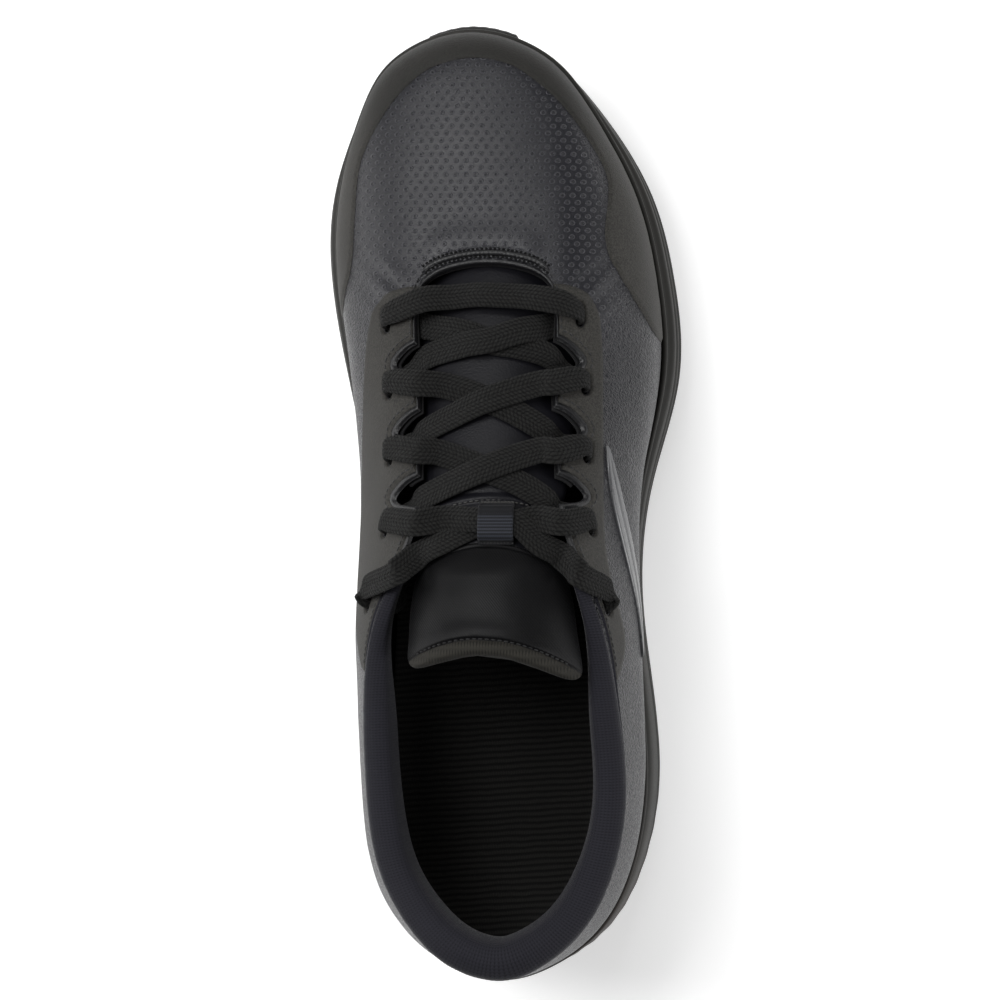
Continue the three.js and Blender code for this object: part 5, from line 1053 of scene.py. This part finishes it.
def collar():
    nt = 1100
    t = np.linspace(-6.5, 6.5, nt)
    ease = slip(7, 4.6, np.abs(t))
    sw = lambda s: (1.4 if s < 3.5 else 6 if s < 4.1 else 9.4 if s < 4.6 else 9.2) * (0.12 + 0.88 * ease) * (0.72 + 0.28 * slip(5, 1, np.abs(t)))
    top, nrm = S(t, np.full(nt, 5.0))
    inward = -nrm.copy()
    inward[:, 2] = 0
    inward /= np.linalg.norm(inward, axis=1, keepdims=True)
    upv = np.array([0, 0, 1.0])
    wide = depth(t, 5.0) + sw(5) - 0.6

    def line(grow):
        g = grow
        tip = lambda a, z: top + inward * np.asarray(a).reshape(-1, 1) + upv * np.asarray(z).reshape(-1, 1)
        one = np.ones(nt)
        reach = 1.3 - 0.6 * slip(3.6, 0.8, np.abs(t))  # how far the knit rolls out over the leather's edge
        over = slip(0, 1, g + 0.3)
        a0, n0 = S(t, np.full(nt, 4.8))
        pts = [a0 + n0 * ((0.15 + 0.35 * over) * one)[:, None], tip(-(reach * 0.8) * over * ease + 0.4, (-0.6) * one), tip(-reach * over * ease + 0.3, 1.6 + 1.2 * ease), tip(0.4 + 0.11 * wide - reach * 0.55 * over, 1.4 + 3.6 * ease + g * 0.7), tip(0.6 + 0.45 * wide, 1.5 + 4.9 * ease + g), tip(0.6 + 0.82 * wide + 0.5 * g, 1.3 + 3.2 * ease + 0.8 * g)]
        for s in (4.95, 4.5, 4.0, 3.4):
            p, n = S(t, np.full(nt, s))
            pts.append(p - n * (depth(t, s) + sw(s) + g)[:, None])
        p, n = S(t, np.full(nt, 3.25))
        pts.append(p - n * (depth(t, 3.25) + 0.5 + 0 * g)[:, None])
        return pts

    rows = 72
    A, B = cr(line(0.9), rows), cr(line(-0.3), rows)
    # pillow: soft dents along the outer seam and slow unevenness
    arc = np.concatenate([[0], np.cumsum(np.linalg.norm(np.diff(A[rows // 2], axis=0), axis=1))])
    v = np.concatenate([np.zeros((1, nt)), np.cumsum(np.linalg.norm(np.diff(A, axis=0), axis=-1), 0)])
    Nn = np.cross(np.gradient(A, axis=1), np.gradient(A, axis=0))
    Nn /= np.maximum(np.linalg.norm(Nn, axis=-1, keepdims=True), 1e-9)
    mid = A.mean(axis=(0, 1))
    sgn = np.sign(((A - B) * Nn).sum(-1).mean())
    Nn *= sgn
    lane = np.linspace(0, 1, rows)[:, None]
    pucker = 0.05 * np.cos(2 * np.pi * arc[None] / 5.2 + 1.5 * bumps(arc, arc * 0, arc * 0, 0.15, 9)[None]) * np.exp(-(((lane - 0.14) / 0.07) ** 2))
    slow = 0.30 * bumps(A[..., 0], A[..., 1], A[..., 2], 0.08, 21) * np.sin(np.pi * np.clip(lane, 0, 1))
    ribs = 0.025 * np.cos(2 * np.pi * arc[None] / 0.84) * np.sin(np.pi * lane) ** 0.3
    A = A + Nn * (pucker + slow + ribs)[..., None]
    uv = np.stack([np.broadcast_to(arc[None], v.shape), v], -1)
    o = slab_mesh("collar_padded_knit", A, B, uv=uv, material=COLLAR_M)
    fix_normals(o)
    ship(o, replaces=["collar_foam", "collar_knit"])
    # the row where the knit is turned under the leather; it is computed but not used
    k = int(rows * 0.13)
    return A


COLLAR_A = collar()

# ---------------------------------------------------------------- tongue
tongueMid = table([[-60, 3.0], [-54, 2.6], [-40, 1.8], [-20, 1.0], [0, 0.5], [18, -0.2], [40, -0.9], [75, -2], [96, -4]])
tongueZ = table([[-60, 112], [-54, 111], [-45, 108.6], [-30, 103.6], [-10, 96.8], [11, 89.6], [32, 82], [54, 74.8], [68, 69], [75, 65.8], [88, 61.4], [96, 58.6]])
tongueHalf = table([[-60, 27.2], [-54, 26.8], [-46, 25.8], [-40, 24.8], [-30, 23.8], [-20, 22.2], [-12, 20.8], [-4, 21], [10, 24], [40, 25.4], [75, 22], [96, 17]])


def arch(x, R=33.0):
    return R - np.sqrt(np.maximum(R * R - x * x, 40))


tongueTop = lambda x, y: tongueZ(y) - arch(x - tongueMid(y))


def tongue_lower():
    nw, nv = 130, 300
    w = np.linspace(-1, 1, nw)
    v = np.linspace(0, 1, nv)
    Wd, Vv = np.meshgrid(w, v)
    back = -13.2 - 5.6 * Wd**2
    Y = 94 + Vv * (back - 94)
    X = tongueMid(Y) + Wd * tongueHalf(Y)
    Z = tongueTop(X, Y) - 0.9 * Wd**4
    edge = (1 - np.abs(Wd)) * tongueHalf(Y)
    Z = Z + 0.25 * bumps(X, Y, Z, 0.12, 31) * slip(0, 5, edge) - 0.9 * (1 - slip(0, 1.2, edge)) ** 2
    # a curved seam just ahead of the pull loop, and soft quilted channels below the lace
    seam = Y - (1.6 - 0.012 * (X - 1) ** 2)
    Z = Z + 0.42 * np.exp(-((seam / 0.8) ** 2)) - 0.25 * np.exp(-(((seam - 1.6) / 0.5) ** 2)) - 0.2 * np.exp(-(((seam + 1.6) / 0.5) ** 2))
    top = np.stack([X, Y, Z], -1)
    low = np.stack([X * 0.995 + 0.005 * tongueMid(Y), Y, Z - 2.2 + 0.9 * (1 - slip(0, 1.2, edge)) ** 2], -1)
    uv = np.stack([X, Y], -1)
    o = slab_mesh("tongue_front", top[::-1], low[::-1], uv=uv[::-1], material=TONGUE_M)
    fix_normals(o)
    ship(o, replaces=["tongue_lower"])
    xs = np.linspace(-15, 17, 120)
    ys = 1.6 - 0.012 * (xs - 1) ** 2
    P = np.stack([xs, ys - 0.9, tongueTop(xs, ys - 0.9) + 0.28], 1)
    stitch_line("tongue_seam_stitches", P, np.tile([0, 0.3, 0.95], (len(P), 1)), 1.7, 1.2, 0.24, THREAD_GREY)


def tongue_pad():
    nv, K = 190, 150
    v = np.linspace(0, 1, nv)
    ang = np.arange(K) * 2 * np.pi / K
    ca, sa = np.cos(ang), np.sin(ang)
    wx = np.sign(ca) * np.abs(ca) ** 0.5  # squarish pillow section
    wz = np.sign(sa) * np.abs(sa) ** 0.62
    Vv, Wd = np.meshgrid(v, wx, indexing="ij")
    Zs = np.broadcast_to(wz, Vv.shape)
    # rounded ends
    end = np.clip(np.minimum(Vv / 0.05, (1 - Vv) / 0.06), 0, 1)
    fat = np.sqrt(np.clip(1 - (1 - end) ** 2, 0.0009, 1))
    Wd = Wd * (1 - 0.03 * (1 - fat))
    front = -12.0 - 7.2 * Wd**2 - 3.0 * np.abs(Wd) ** 7
    back = -46.6 - 7.0 * Wd**2 - 1.9 * Wd + 1.3 * np.exp(-((Wd / 0.45) ** 2)) + 4.6 * np.abs(Wd) ** 12
    Y = front + Vv * (back - front)
    half = tongueHalf(Y) + 0.6 * np.sin(np.pi * Vv)
    X = tongueMid(Y) + Wd * half
    puff = 2.6 * (1 - np.abs(Wd) ** 4) * slip(-12.3, -22, Y) * (1 - 0.6 * slip(-42, -51, Y))
    mid = tongueTop(X, Y) - 3.5 + puff * 0.6
    thick = (3.6 + puff * 0.5) * fat * (1 - 0.35 * np.abs(Wd) ** 6)
    Z = mid + Zs * thick
    up = slip(0.1, 0.6, Zs)
    # the crease that sets off the rolled edge, with its stitches
    crease_y = -40.6 - 9.0 * np.abs(Wd) ** 2.2 - 1.7 * Wd
    c = Y - crease_y
    Z = Z - up * 1.25 * np.exp(-((c / 0.75) ** 2)) + up * 0.75 * np.exp(-(((c + 2.9) / 1.7) ** 2)) + up * 0.35 * np.exp(-(((c - 3.2) / 2.2) ** 2))
    Z = Z + up * (0.22 * bumps(X, Y, Z, 0.14, 41) + 0.12 * bumps(X, Y, Z, 0.4, 42))
    # fine ribs of the binding behind the crease
    Z = Z + up * 0.07 * np.cos(2 * np.pi * X / 0.95) * slip(0.3, -0.6, c)
    P = np.stack([X, Y, Z], -1)
    roll = slip(0.15, -0.25, c) * slip(-0.4, 0.0, Zs) + slip(-2.0, -3.0, c) * slip(0.0, -0.3, Zs)
    f = grid_faces(nv, K, True)
    P = P.reshape(-1, 3)
    f.append(list(range(K))[::-1])
    f.append([(nv - 1) * K + k for k in range(K)])
    uv = np.stack([X.ravel(), Y.ravel()], 1)
    o = to_mesh("tongue_pad_cushion", P, f, uv=uv, material=PAD_M)
    o.data.materials.append(ROLL_M)
    o.data.materials.append(LINING_M)
    roll_v, low_v = roll.ravel() > 0.5, (Zs.ravel() < -0.25)
    ids = np.zeros(len(o.data.polygons), int)
    for i, p in enumerate(o.data.polygons):
        vs = list(p.vertices)
        if np.mean(roll_v[vs]) > 0.5:
            ids[i] = 1
        elif np.mean(low_v[vs]) > 0.5:
            ids[i] = 2
    o.data.polygons.foreach_set("material_index", ids)
    fix_normals(o)
    ship(o, body="tongue_flap", replaces=["tongue_pad_cover", "tongue_pad_foam", "tongue_pad_lining"], blend=((0.0022, -0.0105, 0.0965), (0.0022, -0.0215, 0.0985)))
    # crease stitches ride with the pad
    w = np.linspace(-0.86, 0.86, 160)
    yy = -40.6 - 9.0 * np.abs(w) ** 2.2 - 1.7 * w + 0.35
    xx = tongueMid(yy) + w * (tongueHalf(yy) + 0.6)
    pf = 2.6 * (1 - np.abs(w) ** 4) * slip(-12.3, -22, yy) * (1 - 0.6 * slip(-42, -51, yy))
    zz = tongueTop(xx, yy) - 3.5 + pf * 0.6 + (3.6 + pf * 0.5) * (1 - 0.35 * np.abs(w) ** 6) - 0.95
    Pn = np.stack([xx, yy, zz], 1)
    stitch_line("tongue_crease_stitches", Pn, np.tile([0, -0.2, 0.98], (len(Pn), 1)), 1.9, 1.35, 0.26, THREAD, body="tongue_flap")
    # front seam: a narrow welt that closes the pad on the tongue
    w = np.linspace(-0.98, 0.98, 170)
    yy = -12.6 - 7.4 * w**2
    xx = tongueMid(yy) + w * tongueHalf(yy)
    zz = tongueTop(xx, yy) + 0.15 - 0.8 * w**4
    A = np.stack([xx, yy, zz], 1)
    d = np.gradient(A, axis=0)
    d /= np.linalg.norm(d, axis=1, keepdims=True)
    up3 = np.tile([0.0, 0.32, 0.95], (len(A), 1))
    b = np.cross(up3, d)
    K = 14
    an = np.arange(K) * 2 * np.pi / K
    rad = 0.6 * np.clip((1 - np.abs(w)) / 0.04, 0.05, 1) ** 0.5
    V = A[:, None] + b[:, None] * (np.cos(an)[None] * rad[:, None] * 1.3)[..., None] + up3[:, None] * (np.sin(an)[None] * rad[:, None] * 0.8)[..., None]
    f = grid_faces(len(A), K, True) + [list(range(K))[::-1], [(len(A) - 1) * K + j for j in range(K)]]
    o = to_mesh("tongue_front_welt", V.reshape(-1, 3), f, uv=np.stack([V[..., 0].ravel(), V[..., 1].ravel()], 1), material=PAD_M)
    fix_normals(o)
    ship(o, body="tongue_flap", blend=((0.0022, -0.0105, 0.0965), (0.0022, -0.0215, 0.0985)))


tongue_lower()
tongue_pad()


# ---------------------------------------------------------------- keeper
def keeper():
    prof = np.array([[0.6, 0.2], [-0.5, 0.3], [-1.1, 0.9], [-1.5, 2.9], [-2.4, 4.4], [-4.2, 4.85], [-6.2, 4.95], [-8.2, 4.85], [-9.7, 4.4], [-10.5, 2.9], [-10.9, 0.9], [-11.4, 0.4], [-12.6, 0.5]], float)
    n, m = 150, 40
    P = cr([[p] for p in prof], n)[:, 0]
    L = np.concatenate([[0], np.cumsum(np.linalg.norm(np.diff(P, axis=0), axis=1))])
    x = np.linspace(-5.3, 5.3, m)
    X, Y = np.meshgrid(x, P[:, 0])
    _, Zp = np.meshgrid(x, P[:, 1])
    Ls = np.broadcast_to(L[:, None], X.shape)
    tan = np.gradient(P, axis=0)
    tan /= np.linalg.norm(tan, axis=1, keepdims=True)
    nrm = np.stack([-tan[:, 1], tan[:, 0]], 1) * -1
    if nrm[n // 2, 1] < 0:
        nrm = -nrm
    edge = 5.3 - np.abs(X)
    h = 0.26 * np.abs(np.sin(np.pi * Ls / 2.2)) ** 0.7 * slip(0, 0.7, edge) + 0.1 * (1 - slip(0.7, 1.1, edge)) - 0.35 * (1 - slip(0, 0.4, edge))
    z0 = tongueTop(3.2 + X, Y) + Zp
    A = np.stack([3.2 + X, Y + nrm[:, None, 0] * (0.8 + h), z0 + nrm[:, None, 1] * (0.8 + h)], -1)
    B = np.stack([3.2 + X, Y + nrm[:, None, 0] * 0.1, z0 + nrm[:, None, 1] * 0.1], -1)
    o = slab_mesh("lace_keeper_webbing", A, B, uv=np.stack([X, Ls], -1), material=WEB_M)
    fix_normals(o)
    ship(o, replaces=["lace_keeper"])
    for k, yy in enumerate((0.1, -12.1)):
        xs = np.linspace(-1.6, 8.0, 30)
        P2 = np.stack([xs, np.full(30, yy), tongueTop(xs, yy) + 1.35], 1)
        stitch_line(f"keeper_bar_tack_{k}", P2, np.tile([0, 0.3, 0.95], (30, 1)), 1.0, 1.1, 0.25, THREAD_GREY)


keeper()


# ---------------------------------------------------------------- insole
def insole():
    tt = np.linspace(0, RIBS, 521)[:-1]
    blunt = 1.6 * np.clip((np.minimum(tt, RIBS - tt) - 10) / 2, 0, 1)
    A, N = S(tt, np.full(len(tt), 0.8))
    A = A - N * (5.3 + blunt)[:, None]
    ring = A[:, :2]
    ys = np.arange(-146, 146, 0.5)
    xs = np.arange(-52, 50, 0.5)
    X, Y = np.meshgrid(xs, ys)
    D = sd_poly(X, Y, ring)
    base = floorZ(Y) + 1.3
    lip = np.clip(1 - D / 10.9, 0, 1) ** 2.1
    Z = base + INS_THICK(Y) + 1.12 + INS_CUP(Y) * lip
    rib = (Y - 0.07 * X) / 1.9
    Z = Z + 0.14 * np.abs(np.cos(np.pi * rib)) * slip(1.5, 3.0, D) + 0.35 * bumps(X, Y, X * 0, 0.05, 51) * slip(3, 12, D)
    # a pressed heel dish and an arch swell, and a rounded top edge
    Z = Z - 0.9 * np.exp(-((X - 1) / 17) ** 2 - ((Y + 112) / 22) ** 2) + 1.6 * np.exp(-((X + 30) / 10) ** 2 - ((Y + 22) / 34) ** 2)
    Z = Z - 0.7 * (1 - slip(0, 1.2, D)) ** 2
    V, polys = clip_grid(D)
    a, b, w = V[:, 0].astype(int), V[:, 1].astype(int), V[:, 2]
    mix = lambda G: G.ravel()[a] * (1 - w) + G.ravel()[b] * w
    x, y, z, lo, d = mix(X), mix(Y), mix(Z), mix(base), mix(D)
    # the underside tucks in a little
    cx = np.clip(1 - 0.012 * (1 - slip(0, 3, d)), 0, 1)
    top = np.stack([x, y, z], 1)
    low = np.stack([x * cx, y * cx, lo + 0.0 * z], 1)
    n = len(V)
    faces = polys + [[n + i for i in p[::-1]] for p in polys] + rim_walls(polys, n)
    o = to_mesh("insole_cushion", np.concatenate([top, low]), faces, uv=np.concatenate([np.stack([x, y], 1)] * 2), material=INSOLE_M, angle=60)
    o.data.materials.append(FOAM_M)
    ids = np.zeros(len(o.data.polygons), int)
    ids[len(polys) : 2 * len(polys)] = 1
    if len(ids) == len(faces):
        o.data.polygons.foreach_set("material_index", ids)
    fix_normals(o)
    ship(o, body="insole_heel", replaces=["insole_foam_front", "insole_foam_heel", "insole_cover_front", "insole_cover_heel"], blend=((0.0, 0.0290, 0.0285), (0.0, 0.0135, 0.0285)))


insole()


# ---------------------------------------------------------------- sole
def cap_faces(R, N, first=True):
    """Closes a ring of N vertices (even) across from side to side."""
    H = N // 2
    base = 0 if first else (R - 1) * N
    at = lambda c: base + c % N
    f = [[at(0), at(1), at(N - 1)]]
    for c in range(1, H - 1):
        f.append([at(c), at(c + 1), at(N - c - 1), at(N - c)])
    f.append([at(H - 1), at(H), at(H + 1)])
    return f


def ring_stack(name, rings, material, angle=None, attrs=None):
    R, N = len(rings), len(rings[0])
    V = np.array(rings).reshape(-1, 3)
    f = grid_faces(R, N, True) + cap_faces(R, N, True) + cap_faces(R, N, False)
    o = to_mesh(name, V, f, material=material, angle=angle)
    fix_normals(o)
    return o


def sole():
    N = 1040
    t = np.arange(N) * RIBS / N
    P0 = plan(t)
    fl = flare(t)
    y0 = P0[:, 1]
    lo = groundZ(y0) + 5.9
    hi = rimZ(y0)
    W = wrapped(t)
    outer_side = np.where(t < 13, 1.0, 0.0)
    # control profile: (out, height share)
    prof = [(fl - 4.2, lo), (fl - 1.9, lo + 1.8), (fl - 0.5, lo + 0.24 * (hi - lo)), (fl, lo + 0.42 * (hi - lo)), (fl * 0.8 + 0.25, lo + 0.64 * (hi - lo)), (fl * 0.55 + 0.6, lo + 0.82 * (hi - lo)), (np.full(N, 1.5), hi - 2.4), (np.full(N, 2.0), hi - 1.1)]
    outs, zs = (np.stack([p[k] for p in prof]) for k in (0, 1))
    m = 76
    O = cr(outs[..., None], m)[..., 0]
    Zc = cr(zs[..., None], m)[..., 0]
    h = (Zc - lo) / (hi - lo)
    below = hi - Zc
    # a thin groove under the lip, and sculpted flutes along the sides
    O = O - 0.75 * np.exp(-(((below - 3.4) / 0.55) ** 2))
    long = slip(1.6, 3.2, W) * slip(11.3, 9.4, W)
    mid1 = 0.30 + 0.20 * slip(2, 9, W)
    O = O - 0.9 * long * np.exp(-(((h - mid1) / 0.035) ** 2)) * (0.4 + 0.6 * slip(0.5, 1.0, outer_side + 0.5))
    O = O - 0.7 * long * np.exp(-(((h - mid1 - 0.17) / 0.028) ** 2))
    # vertical flutes between the grooves at the heel
    heel = slip(4.2, 3.2, W)
    O = O - 0.12 * heel * np.cos(2 * np.pi * W / 0.36) * np.exp(-(((h - 0.5) / 0.13) ** 2))
    rings = []
    for k in range(m):
        p = plan(t, O[k])
        rings.append(np.stack([p[:, 0], p[:, 1], Zc[k]], 1))
    # rounded lip over to the upper
    for a, z in ((2.02, -0.75), (1.9, -0.35), (1.6, -0.08), (1.2, 0.02)):
        p = plan(t, np.full(N, a))
        rings.append(np.stack([p[:, 0], p[:, 1], hi + z], 1))
    A, Nn = S(t, np.full(N, 1.0))
    p = A + Nn * 0.3
    p[:, 2] = np.minimum(p[:, 2], hi - 0.25)
    rings.append(p)
    A, Nn = S(t, np.full(N, 0.5))
    rings.append(A + Nn * 0.3)
    A, Nn = S(t, np.full(N, 0.0))
    p = A + Nn * 0.3
    p[:, 2] = floorZ(p[:, 1]) - 0.35
    rings.append(p)
    o = ring_stack("midsole_sculpted", rings, EVA_M)
    ship(o, replaces=["midsole"])
    # outsole plate with a rounded edge
    low = groundZ(y0) + 3.0
    rr = []
    for out, dz in ((-5.9, 0.0), (-5.4, 0.02), (-4.3, 0.3), (-3.6, 0.9), (-3.25, 1.5), (-3.1, 2.1), (-3.2, 2.6)):
        p = plan(t, fl + out)
        rr.append(np.stack([p[:, 0], p[:, 1], low + dz], 1))
    o = ring_stack("outsole_plate", rr, TREAD_M, angle=50)
    ship(o, replaces=["outsole"])


sole()


def tread():
    rows = [[-132, -14, 16, 3], [-116, -27, 29, 4], [-99, -30, 33, 4], [-82, -30, 34, 4], [-65, -28, 32, 4], [22, -30, 34, 4], [39, -36, 38, 5], [56, -39, 38, 5], [73, -41, 34, 5], [90, -41, 28, 5], [107, -36, 19, 4], [122, -27, 7, 3]]
    V, Fa = [], []
    K = 36
    an = np.arange(K) * 2 * np.pi / K
    # a soft hexagon with a dished, cross-cut foot
    hexa = 1 / np.maximum(np.cos((an % (np.pi / 3)) - np.pi / 6), 0.01) ** 0.75 * 0.93
    prof = [(5.9, 4.3), (5.7, 3.1), (5.45, 2.4), (5.05, 0.9), (4.85, 0.35), (4.45, 0.04), (4.1, 0.0), (3.3, 0.02), (3.0, 0.3), (1.9, 0.75), (1.6, 0.8)]
    for y, a, b, n in rows:
        for i in range(n):
            cx, cy = a + (b - a) * i / (n - 1), y + (1.5 if i % 2 else -1.5)
            z = float(groundZ(cy))
            base = len(V)
            for r, h in prof:
                cut = 0.16 * np.cos(3 * an) * (1 if r < 3.5 else 0)
                for q, g, c in zip(an, hexa, cut):
                    V.append([cx + r * g * math.cos(q), cy + r * g * math.sin(q), z + h + c])
            V.append([cx, cy, z + 0.82])
            R = len(prof)
            Fa += grid_faces(R, K, True, base=base)
            Fa.append([base + k for k in range(K)][::-1])
            for k in range(K):
                Fa.append([base + (R - 1) * K + k, base + (R - 1) * K + (k + 1) % K, len(V) - 1])
    o = to_mesh("outsole_lugs", np.array(V), Fa, material=TREAD_M, angle=40)
    fix_normals(o)
    ship(o)
    # low ribs across the waist and between the lug rows
    V, Fa = [], []
    for k, y in enumerate(np.arange(-52, 16, 5.6)):
        half = 20 + 4 * math.cos((y + 18) / 34 * 1.4)
        xs = np.linspace(-half + 1, half + 3, 50)
        yc = y + 2.2 * np.sin((xs - 2) / half * 1.5)
        sec = [(-1.3, 0.3), (-0.9, -0.75), (-0.45, -1.0), (0.45, -1.0), (0.9, -0.75), (1.3, 0.3)]
        base = len(V)
        fade = np.clip(np.minimum(xs - xs[0], xs[-1] - xs) / 2.5, 0.15, 1)
        for x, yy, f in zip(xs, yc, fade):
            for a, b in sec:
                V.append([x, yy + a * f, float(groundZ(yy)) + 3.0 + b * f + 0.05])
        Fa += grid_faces(len(xs), len(sec), True, base=base)
        Fa.append([base + j for j in range(len(sec))][::-1])
        Fa.append([base + (len(xs) - 1) * len(sec) + j for j in range(len(sec))])
    o = to_mesh("outsole_waist_ribs", np.array(V), Fa, material=TREAD_M, angle=40)
    fix_normals(o)
    ship(o)


def bumper():
    n, m = 90, 60
    t = np.linspace(12.4, 13.6, n)
    fl = flare(t)
    y0 = plan(t)[:, 1]
    g = groundZ(y0)
    un, hi = g + 5.9, rimZ(y0)
    A = cr([np.stack([o, z], -1) for o, z in ((fl - 4.0, g + 3.4), (fl - 1.6, g + 3.6), (fl + 0.4, g + 4.6), (fl + 1.3, un + 5), (fl + 1.9, un + 9), (fl + 1.8, hi - 4.2), (fl + 1.25, hi - 3.3), (fl + 0.3, hi - 3.3))], m)
    edge = np.minimum(t - t[0], t[-1] - t) * 18
    rib = 0.05 * np.cos(2 * np.pi * (t - 13) / 0.135)[None] * slip(0.1, 0.3, np.linspace(0, 1, m))[:, None] * slip(0.95, 0.8, np.linspace(0, 1, m))[:, None]
    out = A[..., 0] + rib - 1.2 * (1 - slip(0, 1.6, edge))[None]
    front = np.stack([np.concatenate([plan(t, out[k]), A[k, :, 1:]], 1) for k in range(m)])
    back = np.stack([np.concatenate([plan(t, np.minimum(out[k] - 1.2, fl - 0.5)), A[k, :, 1:] + (0.9 if k < 12 else 0)], 1) for k in range(m)])
    o = slab_mesh("toe_bumper", front, back, material=TREAD_M, angle=50)
    fix_normals(o)
    ship(o)


tread()
bumper()

# ---------------------------------------------------------------- hidden pieces that stay as they are in the CAD
for name, m in (("strobel_board", BOARD_M), ("toe_puff", BOARD_M)):
    o = frame["nodes"][name]
    o.data.materials.clear()
    o.data.materials.append(m)

# ---------------------------------------------------------------- floor and light


def studio():
    bpy.ops.mesh.primitive_plane_add(size=6, location=(0, 0, -0.0003))
    floor = bpy.context.object
    floor.name = "studio_floor"
    m = bpy.data.materials.new("floor_paper")
    m.use_nodes = True
    b = m.node_tree.nodes["Principled BSDF"]
    b.inputs["Base Color"].default_value = (0.93, 0.93, 0.93, 1)
    b.inputs["Roughness"].default_value = 0.9
    b.inputs["Emission Color"].default_value = (1, 1, 1, 1)
    b.inputs["Emission Strength"].default_value = 0.34
    b.inputs["Specular IOR Level"].default_value = 0.1
    floor.data.materials.append(m)
    w = bpy.data.worlds.new("studio")
    w.use_nodes = True
    bg = w.node_tree.nodes["Background"]
    bg.inputs["Color"].default_value = (1, 1, 1, 1)
    bg.inputs["Strength"].default_value = 0.2
    bpy.context.scene.world = w

    def area(name, at, aim, size, power, size_y=None):
        l = bpy.data.lights.new(name, "AREA")
        l.energy, l.size = power, size
        if size_y:
            l.shape, l.size_y = "RECTANGLE", size_y
        o = bpy.data.objects.new(name, l)
        bpy.context.scene.collection.objects.link(o)
        o.location = at
        o.rotation_mode = "QUATERNION"
        o.rotation_quaternion = (Vector(aim) - Vector(at)).to_track_quat("-Z", "Y")

    area("softbox_top", (-0.42, 0.30, 1.15), (0, 0.02, 0.05), 0.55, 9.5, 0.55)
    area("softbox_right", (1.05, -0.30, 0.55), (0.02, -0.02, 0.05), 0.35, 7.0, 1.0)
    area("softbox_left", (-1.05, 0.10, 0.50), (-0.02, 0.0, 0.05), 0.35, 5.5, 1.0)
    area("softbox_toe", (0.08, 0.92, 1.12), (0, 0.05, 0.06), 0.5, 3.6, 0.3)
    bpy.context.scene.view_settings.view_transform = "Standard"


studio()
